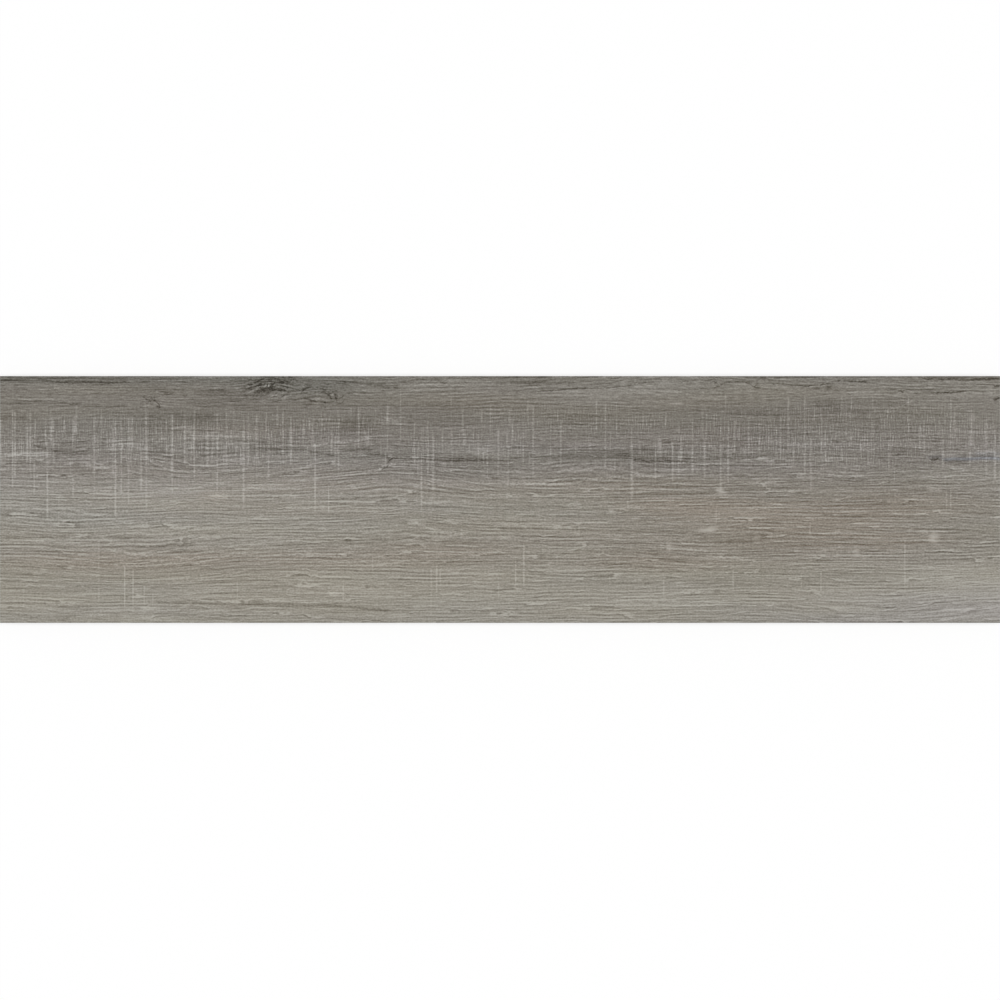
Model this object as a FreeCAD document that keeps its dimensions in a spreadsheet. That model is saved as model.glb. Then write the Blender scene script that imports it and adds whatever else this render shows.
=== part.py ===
"""Wood look porcelain plank tile, one pressed and fired piece with ground (rectified) sides.

The plank lies on its back: +Z is the decorated face, X runs along the grain, and the origin is
the middle of the underside. All sizes are in millimetres. The face is flat here, with its ground
bevel. The back has the shallow grid of ribs that the press leaves, which the adhesive keys into.
"""

import FreeCAD, Part
import Sketcher
import os

# Driving sizes: cell alias, value, what it measures
SIZES = [
    ("plank_length", 600.0, "length of the ground plank, along the grain"),
    ("plank_width", 148.0, "width of the ground plank, across the grain"),
    ("plank_thickness", 9.0, "thickness from the rib crests to the decorated face"),
    ("face_bevel", 0.5, "leg of the 45 degree bevel round the decorated face"),
    ("back_bevel", 0.8, "leg of the 45 degree bevel round the back"),
    ("recess_depth", 0.7, "depth of the cells pressed into the back"),
    ("cell_pitch", 22.4, "spacing of the back ribs, the same both ways"),
    ("rib_crest", 1.6, "width of a back rib at its crest"),
    ("flank_angle", 35.0, "slope of the rib flanks from upright, in degrees"),
    ("rim_least", 7.0, "narrowest flat border left round the cells"),
]

# The grid is centred, and holds as many whole cells as fit inside the border
CELLS_ALONG = "floor((Sizes.plank_length - 2 * Sizes.rim_least + Sizes.rib_crest) / Sizes.cell_pitch)"
CELLS_ACROSS = "floor((Sizes.plank_width - 2 * Sizes.rim_least + Sizes.rib_crest) / Sizes.cell_pitch)"
CELL_SIDE = "Sizes.cell_pitch - Sizes.rib_crest"
FIELD_LENGTH = f"({CELLS_ALONG} * Sizes.cell_pitch - Sizes.rib_crest)"
FIELD_WIDTH = f"({CELLS_ACROSS} * Sizes.cell_pitch - Sizes.rib_crest)"

NODE = "plank_tile"
LEAST_GAP = 1e-6


def make_sizes(doc):
    """The sheet of driving sizes, one row each: name, value and meaning."""
    sheet = doc.addObject("Spreadsheet::Sheet", "Sizes")
    for row, (alias, value, meaning) in enumerate(SIZES, start=1):
        sheet.set(f"A{row}", alias)
        sheet.set(f"B{row}", str(value))
        sheet.set(f"C{row}", meaning)
        sheet.setAlias(f"B{row}", alias)
    doc.recompute()
    return sheet


def origin_item(body, role):
    """One of the body's own origin planes or axes."""
    return next(item for item in body.Origin.OriginFeatures if item.Role == role)


def rectangle_sketch(body, name, length, width, left, below):
    """A rectangle on the XY plane. Its lower left corner is left and below of the origin.

    The four distances are expressions on the sheet of sizes.
    """
    sketch = body.newObject("Sketcher::SketchObject", name)
    sketch.AttachmentSupport = [(origin_item(body, "XY_Plane"), "")]
    sketch.MapMode = "FlatFace"
    corners = [(-1, -1), (1, -1), (1, 1), (-1, 1)]
    points = [FreeCAD.Vector(x, y, 0) for x, y in corners]
    bottom, right, top, side = [
        sketch.addGeometry(Part.LineSegment(points[i], points[(i + 1) % 4]), False) for i in range(4)
    ]
    for first, second in [(bottom, right), (right, top), (top, side), (side, bottom)]:
        sketch.addConstraint(Sketcher.Constraint("Coincident", first, 2, second, 1))
    for line in (bottom, top):
        sketch.addConstraint(Sketcher.Constraint("Horizontal", line))
    for line in (right, side):
        sketch.addConstraint(Sketcher.Constraint("Vertical", line))
    measured = [
        (Sketcher.Constraint("DistanceX", bottom, 1, bottom, 2, 2.0), "along", length),
        (Sketcher.Constraint("DistanceY", right, 1, right, 2, 2.0), "across", width),
        (Sketcher.Constraint("DistanceX", bottom, 1, -1, 1, 1.0), "left", left),
        (Sketcher.Constraint("DistanceY", bottom, 1, -1, 1, 1.0), "below", below),
    ]
    for constraint, label, expression in measured:
        index = sketch.addConstraint(constraint)
        sketch.renameConstraint(index, label)
        sketch.setExpression(f"Constraints.{label}", expression)
    return sketch


def flat_face_name(shape, height):
    """The name of the face that lies level at this height."""
    for number, face in enumerate(shape.Faces, start=1):
        box = face.BoundBox
        if box.ZLength < LEAST_GAP and abs(box.ZMin - height) < LEAST_GAP:
            return f"Face{number}"
    raise RuntimeError(f"no level face at height {height}")


def add_slab(doc, body):
    """The pressed slab, as wide and long as it is after grinding."""
    outline = rectangle_sketch(
        body,
        "slab_outline",
        "Sizes.plank_length",
        "Sizes.plank_width",
        "Sizes.plank_length / 2",
        "Sizes.plank_width / 2",
    )
    slab = body.newObject("PartDesign::Pad", "slab")
    slab.Profile = outline
    slab.setExpression("Length", "Sizes.plank_thickness")
    doc.recompute()
    return slab


def add_bevel(doc, body, base, name, height, size):
    """A 45 degree bevel on the four edges of the level face at this height."""
    bevel = body.newObject("PartDesign::Chamfer", name)
    bevel.Base = (base, [flat_face_name(base.Shape, height)])
    bevel.ChamferType = "Equal distance"
    bevel.setExpression("Size", size)
    doc.recompute()
    return bevel


def add_back_cells(doc, body):
    """The grid of shallow cells in the back. What stands between them is the ribs."""
    first_cell = rectangle_sketch(
        body,
        "first_cell",
        CELL_SIDE,
        CELL_SIDE,
        f"{FIELD_LENGTH} / 2",
        f"{FIELD_WIDTH} / 2",
    )
    cell = body.newObject("PartDesign::Pocket", "cell")
    cell.Profile = first_cell
    cell.Reversed = True  # the slab lies above the sketch
    cell.setExpression("Length", "Sizes.recess_depth")
    cell.setExpression("TaperAngle", "-Sizes.flank_angle")
    doc.recompute()

    grid = body.newObject("PartDesign::LinearPattern", "cell_grid")
    grid.Originals = [cell]
    grid.Refine = False  # the cells stand apart, so nothing is left to merge
    grid.Direction = (origin_item(body, "X_Axis"), [""])
    grid.Mode = "Extent"
    grid.setExpression("Length", f"({CELLS_ALONG} - 1) * Sizes.cell_pitch")
    grid.setExpression("Occurrences", CELLS_ALONG)
    grid.Direction2 = (origin_item(body, "Y_Axis"), [""])
    grid.Mode2 = "Extent"
    grid.setExpression("Length2", f"({CELLS_ACROSS} - 1) * Sizes.cell_pitch")
    grid.setExpression("Occurrences2", CELLS_ACROSS)
    body.Tip = grid
    doc.recompute()
    return cell, grid


def check(doc, slab, beveled, cell, grid):
    """Stops the build if a feature failed, or the cells didn't all cut into the slab."""
    for item in doc.Objects:
        if "Invalid" in item.State or "Error" in item.State:
            raise RuntimeError(f"{item.Name} failed: {item.State}")
    one_cell = beveled.Shape.Volume - cell.Shape.Volume
    all_cells = beveled.Shape.Volume - grid.Shape.Volume
    count = grid.Occurrences * grid.Occurrences2
    if one_cell <= 0 or abs(all_cells - count * one_cell) > 1e-3 * all_cells:
        raise RuntimeError("the cells of the back don't all cut the slab")
    if beveled.Shape.Volume >= slab.Shape.Volume:
        raise RuntimeError("the bevels took nothing off the slab")


def main():
    doc = FreeCAD.newDocument("plank")
    sheet = make_sizes(doc)
    body = doc.addObject("PartDesign::Body", "plank_body")
    body.Label = NODE
    slab = add_slab(doc, body)
    face_beveled = add_bevel(doc, body, slab, "face_edge", sheet.plank_thickness, "Sizes.face_bevel")
    beveled = add_bevel(doc, body, face_beveled, "back_edge", 0.0, "Sizes.back_bevel")
    cell, grid = add_back_cells(doc, body)
    check(doc, slab, beveled, cell, grid)

    shape = body.Shape
    if shape.isNull() or not shape.isValid() or len(shape.Solids) != 1:
        raise RuntimeError(f"{NODE} isn't one valid solid")
    os.makedirs("parts", exist_ok=True)
    shape.exportStep(f"parts/{body.Label}.step")
    box = shape.BoundBox
    print(f"{body.Label}: {box.XLength:.2f} x {box.YLength:.2f} x {box.ZLength:.2f} mm,", end=" ")
    print(f"{shape.Volume / 1000:.1f} cm3, {grid.Occurrences} x {grid.Occurrences2} cells")


main()
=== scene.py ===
"""Looks of a wood look porcelain plank, one pressed, printed, glazed and fired piece.

The plank's visible skin is a single closed surface worked out with numpy: a face with shallow wood
relief, bevelled and ground sides, and the ribbed back. The print on the face is a material of its
own. What the print follows is kept on the mesh as attributes: the run of the grain, the tone, the
dark and pale streaks, the saw marks.

Places on the face are in millimetres: how far from the left end, and how far down from the upper
long edge. Tones are print levels from 0, black, to 255, white, as a display shows them.
"""

import math
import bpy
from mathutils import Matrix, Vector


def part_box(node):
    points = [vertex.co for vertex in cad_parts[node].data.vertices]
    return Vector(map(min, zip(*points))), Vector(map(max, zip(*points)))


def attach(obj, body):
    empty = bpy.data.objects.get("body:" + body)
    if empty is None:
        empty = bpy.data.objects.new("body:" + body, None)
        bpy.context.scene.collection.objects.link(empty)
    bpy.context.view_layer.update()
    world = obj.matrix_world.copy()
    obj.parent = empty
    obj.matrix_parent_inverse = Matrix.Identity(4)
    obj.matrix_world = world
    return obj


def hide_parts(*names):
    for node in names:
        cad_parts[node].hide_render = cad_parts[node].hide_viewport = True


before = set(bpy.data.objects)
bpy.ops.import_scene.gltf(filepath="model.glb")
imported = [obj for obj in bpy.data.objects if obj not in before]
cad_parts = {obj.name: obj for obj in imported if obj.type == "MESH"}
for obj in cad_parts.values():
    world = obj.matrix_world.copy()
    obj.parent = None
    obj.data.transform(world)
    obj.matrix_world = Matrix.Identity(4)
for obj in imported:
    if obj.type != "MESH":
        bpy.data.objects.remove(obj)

from types import SimpleNamespace

import bpy
import numpy as np
from bpy.props import FloatProperty, FloatVectorProperty, PointerProperty

bl_info = {
    "name": "Wood Look Porcelain Plank",
    "version": (1, 0, 0),
    "blender": (4, 5, 0),
    "location": "3D View > Sidebar > Plank",
    "description": "Makes a wood look porcelain plank tile and a plain stage for it",
    "category": "Add Mesh",
}

NODE = "plank_tile"

# A millimetre in metres, a length in millimetres too small to count, and the highest print level
MM = 0.001
LEAST = 1e-6
LEVELS = 255.0
WHITE = (1.0, 1.0, 1.0, 1.0)

# The plank as the frame gives it: corners in metres, sizes in millimetres
LOW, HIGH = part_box(NODE)
LENGTH = (HIGH.x - LOW.x) / MM
WIDTH = (HIGH.y - LOW.y) / MM
THICKNESS = (HIGH.z - LOW.z) / MM

# Numbers of the plank's three materials
FACE, SIDES, BACK = 0, 1, 2

# Vector attributes of the mesh, and the three fields that each one holds
ATTRIBUTES = {
    "grain_run": ("along", "ring", "woven"),
    "print_tone": ("tone", "warmth", "slate"),
    "print_marks": ("saw", "dark", "pale"),
    "streak_offsets": ("dark_offset", "pale_offset", "slate_offset"),
    "print_cast": ("straw", "contrast", "saw_offset"),
}

# Least gap that a column of the face keeps: at the sides of a saw mark, and at knots and spots
MARK_GAP = 0.5
KNOT_GAP = 0.4

# Columns at a knot: their spacing, and how many of its reaches they cover to each side
KNOT_COLUMNS = 0.95
KNOT_REACH = 1.3

# A filled spot that reaches further than this gets columns of its own, at these shares of its reach
SPOT_REACH = 1.2
SPOT_COLUMNS = np.array((-1.0, 0.0, 1.0))

# Finer rows under the upper edge: how far down they go, and their spacing
FINE_ROWS = 18.0
FINE_ROW_SPACING = 0.5

# Streaks with at least this half width are broad
BROAD = 1.0

# A thin streak has a say within so many half widths of its middle, and so has a saw mark
STREAK_WINDOW = 2.3
SAW_WINDOW = 2.0

# A streak's middle wanders by this share of its half width, in cells of so many millimetres
STREAK_WANDER = 0.3
WANDER_CELL = 4.0
WANDER_SEED = 900

# A streak's slope is taken over so many millimetres to each side
SLOPE_REACH = 0.4

# A streak ends over this share of its length and so much more, and over the longest end at most
END_SHARE = 0.4
END_MORE = 0.3
LONGEST_END = 6.0

# A saw mark gets at most so many levels, and is held back more the closer it comes to them
SAW_LIMIT = 41.0
SAW_SOFTNESS = 17.0

# A saw mark's strength varies by this share, in cells of so many millimetres
SAW_RAGGED = 0.35
RAGGED_CELL = 4.0
RAGGED_SEED = 300

# Millimetres over which a saw mark starts and ends
SAW_START = 4.0
SAW_END = 5.0

# Cells so long that a random field hardly changes that way
SLOW_DOWN = 500.0
SLOW_ALONG = 1000.0

# Random swings: height, cell along, cell down, seed
GRAIN_WAVES = (
    (1.5, 110.0, 34.0, 11),
    (0.7, 38.0, 13.0, 12),
    (0.2, 13.0, 5.0, 13),
)
TONE_SWING = (1.2, 60.0, 9.0, 21)
WARMTH_SWING = (0.2, 70.0, 8.0, 22)
STRAW_SWING = (0.25, 50.0, 7.0, 23)

# Random fields of the relief and of the chips: cell along, cell down, seed
WORN_FIELD = (45.0, 7.0, 31)
RIDGE_FIELD = (9.0, 1.6, 32)
CHIP_FIELD = (2.0, 1.0, 41)

# Shares of the wood relief: worn hollows, ridges, and the groove of a dark streak of so many levels
WORN_SHARE = 0.55
RIDGE_SHARE = 0.3
GROOVE_SHARE = 0.5
GROOVE_LEVELS = 40.0

# A chip is where the random field is over this
CHIP_START = 0.55

# The woven look: its least and most share, where it starts and ends down the plank, and over how much
WOVEN_LEAST = 0.25
WOVEN_MOST = 1.3
WOVEN_START = 9.0
WOVEN_START_FADE = 14.0
WOVEN_END = 66.0
WOVEN_END_FADE = 16.0

# Firmness of the filled spots' edges, and the share of the fine grain lost where they add so many levels
SPOT_FIRMNESS = 2.0
SPOT_CALM = 0.6
SPOT_CALM_LEVELS = 20.0

# Millimetres within which a point of the solid counts as on its outline, and as at a height
OUTLINE_REACH = 3.0
HEIGHT_REACH = 0.01

# The map of the piece: start and length along the square, then start and height of each band up it
MAP_ALONG = (0.001, 0.998)
FACE_BAND = (0.30, 0.699)
BACK_BAND = (0.07, 0.22)
LOWER_SIDE_START = 0.002
UPPER_SIDE_START = 0.018
SIDE_BAND_HEIGHT = 0.014

# How far the camera sees, in distances to the plank
CAMERA_REACH = 4.0

# Tone of the print down the plank: millimetres down, print level
TONE_DOWN = (0, 6, 14, 24, 34, 46, 60, 74, 88, 100, 114, 128, 140, 148)
TONE_LEVEL = (115, 119, 116.5, 115.5, 117, 119, 127.5, 133.5, 136.5, 133.5, 138.5, 141.5, 142.5, 141.5)

# How strongly the fine grain shows down the plank: millimetres down, share
CONTRAST_DOWN = (0, 13, 26, 41, 60, 110, 124, 148)
CONTRAST = (1.0, 0.82, 0.8, 0.95, 1.02, 1.02, 0.86, 0.84)

# Where the fine grain shows more: from left, down, reach along, reach down, share added
ROUGH_PATCHES = (
    (162, 6, 14, 6, 1.1),
    (193, 11, 13, 5, 0.1),
    (92, 15, 8, 4, 0.3),
)

# How yellow the print is down the plank, below zero where it is bluer: millimetres down, share
STRAW_DOWN = (0, 24, 34, 52, 64, 84, 108, 120, 148)
STRAW = (-0.1, 0.0, -0.45, -0.45, 0.05, 0.55, 0.5, 0.88, 0.55)

# Where it is bluer than that, or below zero yellower: from left, down, reach along, reach down, share
BLUER_PATCHES = (
    (460, 10, 80, 7, -0.5),
    (540, 102, 90, 34, 0.35),
    (606, 142, 90, 15, 1.1),
    (500, 148, 60, 6, 0.5),
    (100, 64, 120, 7, 0.4),
    (60, 82, 100, 7, 0.3),
)

# Tone along the plank: millimetres from the left end, levels added
TONE_ALONG = (0, 120, 240, 360, 470, 540, 600)
TONE_SHIFT = (1.4, 0.9, -0.6, -1.1, -3.1, -1.6, 1.4)

# Saw marks across the face: from left, from down, to down, half width, levels at the middle
SAW_MARKS = (
    (0.6, 26, 51, 1.0, 18),
    (7.6, 20, 66, 0.7, 16),
    (9.3, 22, 61, 0.6, 15),
    (12.9, 39, 47, 0.6, 12),
    (16.4, 22, 30, 0.7, 14),
    (16.4, 30, 50, 1.0, 26),
    (18.4, 20, 46, 0.9, 20),
    (18.4, 46, 60, 0.7, 12),
    (20.6, 51, 71, 0.6, 16),
    (21.2, 26, 42, 0.7, 14),
    (27.4, 26, 42, 0.9, 13),
    (28.4, 38, 52, 0.9, 19),
    (28.4, 50, 58, 0.9, 9),
    (28.5, 56, 86, 0.8, 34),
    (30.6, 20, 41, 0.8, 13),
    (32.3, 26, 34, 0.6, 12),
    (32.3, 38, 53, 0.7, 12),
    (35.4, 72, 92, 0.5, 10),
    (38.7, 26, 34, 0.7, 22),
    (42.3, 50, 60, 0.6, 12),
    (44.0, 26, 41, 0.7, 15),
    (44.0, 60, 73, 0.7, 12),
    (45.9, 18, 34, 0.8, 15),
    (56.7, 26, 60, 1.0, 20),
    (56.6, 64, 73, 0.6, 8),
    (59.1, 39, 47, 0.6, 14),
    (60.9, 20, 41, 0.7, 15),
    (67.5, 30, 58, 0.6, 12),
    (69.3, 26, 48, 0.8, 15),
    (69.3, 48, 83, 0.8, 22),
    (72.9, 25, 50, 0.8, 19),
    (72.9, 50, 70, 0.6, 12),
    (77.2, 24, 76, 0.9, 10),
    (79.4, 25, 44, 0.9, 16),
    (84.8, 45, 68, 1.0, 17),
    (87.9, 20, 34, 1.3, 14),
    (87.9, 32, 54, 1.3, 28),
    (87.9, 54, 79, 0.9, 12),
    (93.6, 26, 37, 0.6, 13),
    (96.9, 28, 42, 0.7, 17),
    (99.9, 26, 48, 0.8, 14),
    (103.4, 23, 58, 1.3, 26),
    (103.4, 58, 70, 0.8, 12),
    (111.0, 22, 53, 1.1, 18),
    (114.6, 38, 48, 1.2, 9),
    (116.7, 21, 61, 0.8, 19),
    (124.5, 26, 38, 0.8, 14),
    (124.5, 38, 54, 1.1, 22),
    (127.4, 32, 40, 0.7, 12),
    (127.4, 39, 51, 1.1, 19),
    (130.4, 22, 69, 0.8, 15),
    (134.2, 45, 53, 0.6, 13),
    (135.9, 20, 56, 0.7, 13),
    (138.9, 33, 41, 0.6, 12),
    (140.2, 20, 30, 0.7, 14),
    (141.8, 38, 48, 0.7, 15),
    (144.3, 45, 53, 0.6, 13),
    (146.2, 26, 40, 0.9, 18),
    (146.2, 40, 78, 1.1, 20),
    (149.0, 22, 40, 0.7, 12),
    (149.0, 39, 54, 1.0, 22),
    (154.1, 24, 50, 1.1, 24),
    (159.9, 20, 34, 0.7, 15),
    (161.2, 34, 62, 0.8, 14),
    (162.9, 33, 41, 0.8, 15),
    (166.5, 18, 31, 0.9, 22),
    (169.8, 20, 47, 0.8, 22),
    (174.6, 24, 34, 0.8, 14),
    (174.6, 32, 52, 1.5, 24),
    (182.1, 26, 40, 0.8, 22),
    (185.7, 26, 35, 0.8, 15),
    (187.6, 27, 41, 0.9, 19),
    (189.1, 40, 52, 0.8, 20),
    (189.1, 52, 81, 0.8, 28),
    (192.9, 22, 34, 0.6, 10),
    (197.2, 67, 82, 0.6, 26),
    (199.0, 33, 47, 0.8, 18),
    (201.2, 36, 50, 0.8, 15),
    (203.1, 21, 58, 0.8, 14),
    (210.6, 18, 23, 0.5, 10),
    (215.2, 19, 36, 1.0, 26),
    (215.2, 36, 43, 0.7, 14),
    (218.1, 24, 35, 0.7, 14),
    (219.4, 33, 41, 0.7, 10),
    (221.1, 30, 41, 0.7, 11),
    (231.3, 45, 54, 0.9, 17),
    (232.5, 18, 29, 1.1, 22),
    (232.5, 29, 44, 0.9, 9),
    (240.4, 8, 40, 0.6, 12),
    (248.7, 28, 40, 0.7, 12),
    (248.7, 39, 53, 0.9, 19),
    (250.8, 40, 60, 0.7, 14),
    (252.9, 33, 44, 0.7, 10),
    (252.9, 46, 80, 0.8, 27),
    (256.6, 26, 60, 0.8, 14),
    (259.9, 35, 71, 1.1, 18),
    (265.5, 33, 42, 0.7, 14),
    (270.7, 12, 23, 0.6, 9),
    (270.9, 32, 42, 0.7, 15),
    (271.3, 44, 53, 0.7, 13),
    (277.6, 20, 34, 0.9, 12),
    (278.7, 33, 42, 0.6, 13),
    (283.9, 33, 42, 0.6, 10),
    (287.1, 33, 53, 0.7, 12),
    (288.9, 20, 29, 1.0, 9),
    (290.1, 45, 53, 0.7, 14),
    (292.5, 41, 60, 0.7, 12),
    (294.4, 17, 36, 0.6, 8),
    (298.9, 32, 40, 0.9, 19),
    (298.9, 40, 60, 0.8, 10),
    (304.2, 33, 42, 0.8, 15),
    (304.9, 42, 66, 0.7, 11),
    (305.8, 20, 28, 0.8, 14),
    (307.6, 27, 40, 0.7, 13),
    (313.9, 33, 40, 0.6, 11),
    (313.9, 40, 53, 0.7, 15),
    (316.7, 14, 28, 0.7, 9),
    (317.7, 45, 53, 0.8, 14),
    (319.9, 18, 45, 0.9, 14),
    (319.9, 50, 60, 0.8, 10),
    (330.3, 28, 50, 0.5, 10),
    (334.5, 20, 29, 0.6, 10),
    (336.5, 26, 54, 0.8, 17),
    (345.3, 38, 47, 0.6, 12),
    (351.6, 31, 36, 0.5, 10),
    (353.8, 38, 47, 1.0, 8),
    (357.8, 15, 34, 0.9, 13),
    (363.2, 17, 40, 0.8, 16),
    (363.2, 40, 55, 1.0, 10),
    (366.2, 34, 44, 0.6, 12),
    (368.8, 50, 60, 0.7, 10),
    (369.9, 16, 36, 0.7, 15),
    (379.1, 30, 40, 0.8, 9),
    (379.1, 39, 74, 1.2, 18),
    (383.8, 39, 47, 1.0, 10),
    (385.6, 25, 31, 0.6, 12),
    (388.0, 25, 31, 0.6, 12),
    (390.5, 28, 31, 0.6, 9),
    (393.3, 42, 63, 0.7, 15),
    (395.1, 38, 46, 0.6, 12),
    (396.5, 38, 52, 0.8, 19),
    (399.3, 23, 31, 0.6, 16),
    (403.6, 40, 63, 1.0, 19),
    (407.2, 28, 34, 0.8, 10),
    (407.2, 45, 60, 0.8, 14),
    (408.9, 38, 50, 1.0, 21),
    (415.4, 26, 34, 0.9, 17),
    (415.4, 34, 43, 0.9, 9),
    (415.4, 42, 58, 1.0, 22),
    (421.4, 20, 36, 0.8, 10),
    (422.7, 38, 62, 1.1, 21),
    (423.9, 20, 38, 0.6, 10),
    (428.7, 26, 35, 0.7, 11),
    (432.4, 30, 40, 0.7, 9),
    (432.4, 40, 67, 0.9, 19),
    (435.2, 11, 20, 0.6, 10),
    (436.8, 27, 40, 0.8, 12),
    (436.8, 40, 64, 0.8, 17),
    (440.7, 26, 47, 0.9, 20),
    (443.2, 32, 40, 0.8, 15),
    (446.8, 41, 49, 0.6, 12),
    (449.1, 26, 47, 0.9, 16),
    (451.4, 40, 49, 0.6, 13),
    (455.6, 27, 50, 0.8, 14),
    (465.8, 30, 48, 0.8, 12),
    (468.3, 25, 49, 0.7, 15),
    (473.0, 12, 47, 0.8, 11),
    (476.1, 39, 51, 0.9, 20),
    (479.1, 39, 47, 0.7, 14),
    (482.8, 12, 44, 0.8, 12),
    (482.8, 44, 60, 0.9, 18),
    (486.5, 33, 67, 0.9, 11),
    (488.6, 16, 28, 0.6, 10),
    (492.9, 20, 55, 0.8, 11),
    (495.3, 26, 44, 0.6, 11),
    (495.3, 44, 53, 0.9, 17),
    (499.7, 27, 37, 0.6, 11),
    (505.0, 12, 22, 0.7, 12),
    (505.0, 43, 52, 0.7, 17),
    (507.9, 46, 53, 0.6, 15),
    (510.8, 12, 20, 0.7, 12),
    (510.8, 33, 41, 0.8, 9),
    (512.4, 46, 52, 0.7, 15),
    (516.7, 42, 48, 0.6, 12),
    (521.1, 42, 53, 0.8, 14),
    (523.5, 12, 21, 0.6, 10),
    (523.5, 27, 36, 0.8, 13),
    (533.2, 39, 56, 0.7, 14),
    (536.6, 56, 64, 0.5, 15),
    (545.0, 12, 35, 0.8, 14),
    (551.8, 30, 42, 0.9, 15),
    (554.3, 26, 47, 0.6, 12),
    (563.7, 26, 36, 0.7, 15),
    (565.7, 34, 44, 0.7, 12),
    (565.7, 43, 55, 1.0, 24),
    (567.7, 68, 80, 0.6, 12),
    (570.4, 13, 39, 0.7, 14),
    (570.4, 68, 80, 0.6, 15),
    (572.9, 20, 38, 0.8, 11),
    (572.9, 45, 53, 0.7, 11),
    (581.8, 45, 54, 0.9, 17),
    (582.6, 27, 41, 1.8, 11),
    (591.6, 27, 34, 1.3, 11),
    (591.6, 33, 42, 1.5, 17),
    (591.6, 48, 60, 1.3, 10),
    (596.8, 30, 44, 0.9, 11),
    (596.8, 44, 63, 1.2, 19),
    (14.4, 127, 139, 0.6, 7),
    (59.4, 97, 135, 0.6, 7),
    (74.9, 114, 138, 0.6, 22),
    (79.9, 116, 138, 0.6, 22),
    (86.6, 125, 137, 0.6, 9),
    (91.8, 130, 137, 0.6, 9),
    (142.5, 124, 135, 0.6, 9),
    (206.0, 124, 135, 0.6, 10),
    (223.6, 108, 117, 0.6, 9),
    (258.8, 115, 132, 0.7, 10),
    (262.0, 114, 131, 0.7, 17),
    (264.2, 117, 126, 0.6, 10),
    (276.8, 90, 97, 0.6, 16),
    (299.1, 121, 134, 0.7, 9),
    (309.4, 110, 125, 0.6, 22),
    (314.3, 101, 125, 0.7, 24),
    (365.8, 120, 125, 0.7, 17),
    (376.6, 74, 80, 0.7, 22),
    (398.2, 121, 133, 0.7, 8),
    (429.8, 79, 88, 0.6, 12),
    (439.8, 117, 130, 0.7, 10),
    (480.8, 119, 127, 0.6, 9),
    (485.9, 88, 95, 0.6, 17),
    (492.5, 117, 130, 0.6, 10),
    (542.8, 99, 126, 0.7, 13),
)

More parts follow.
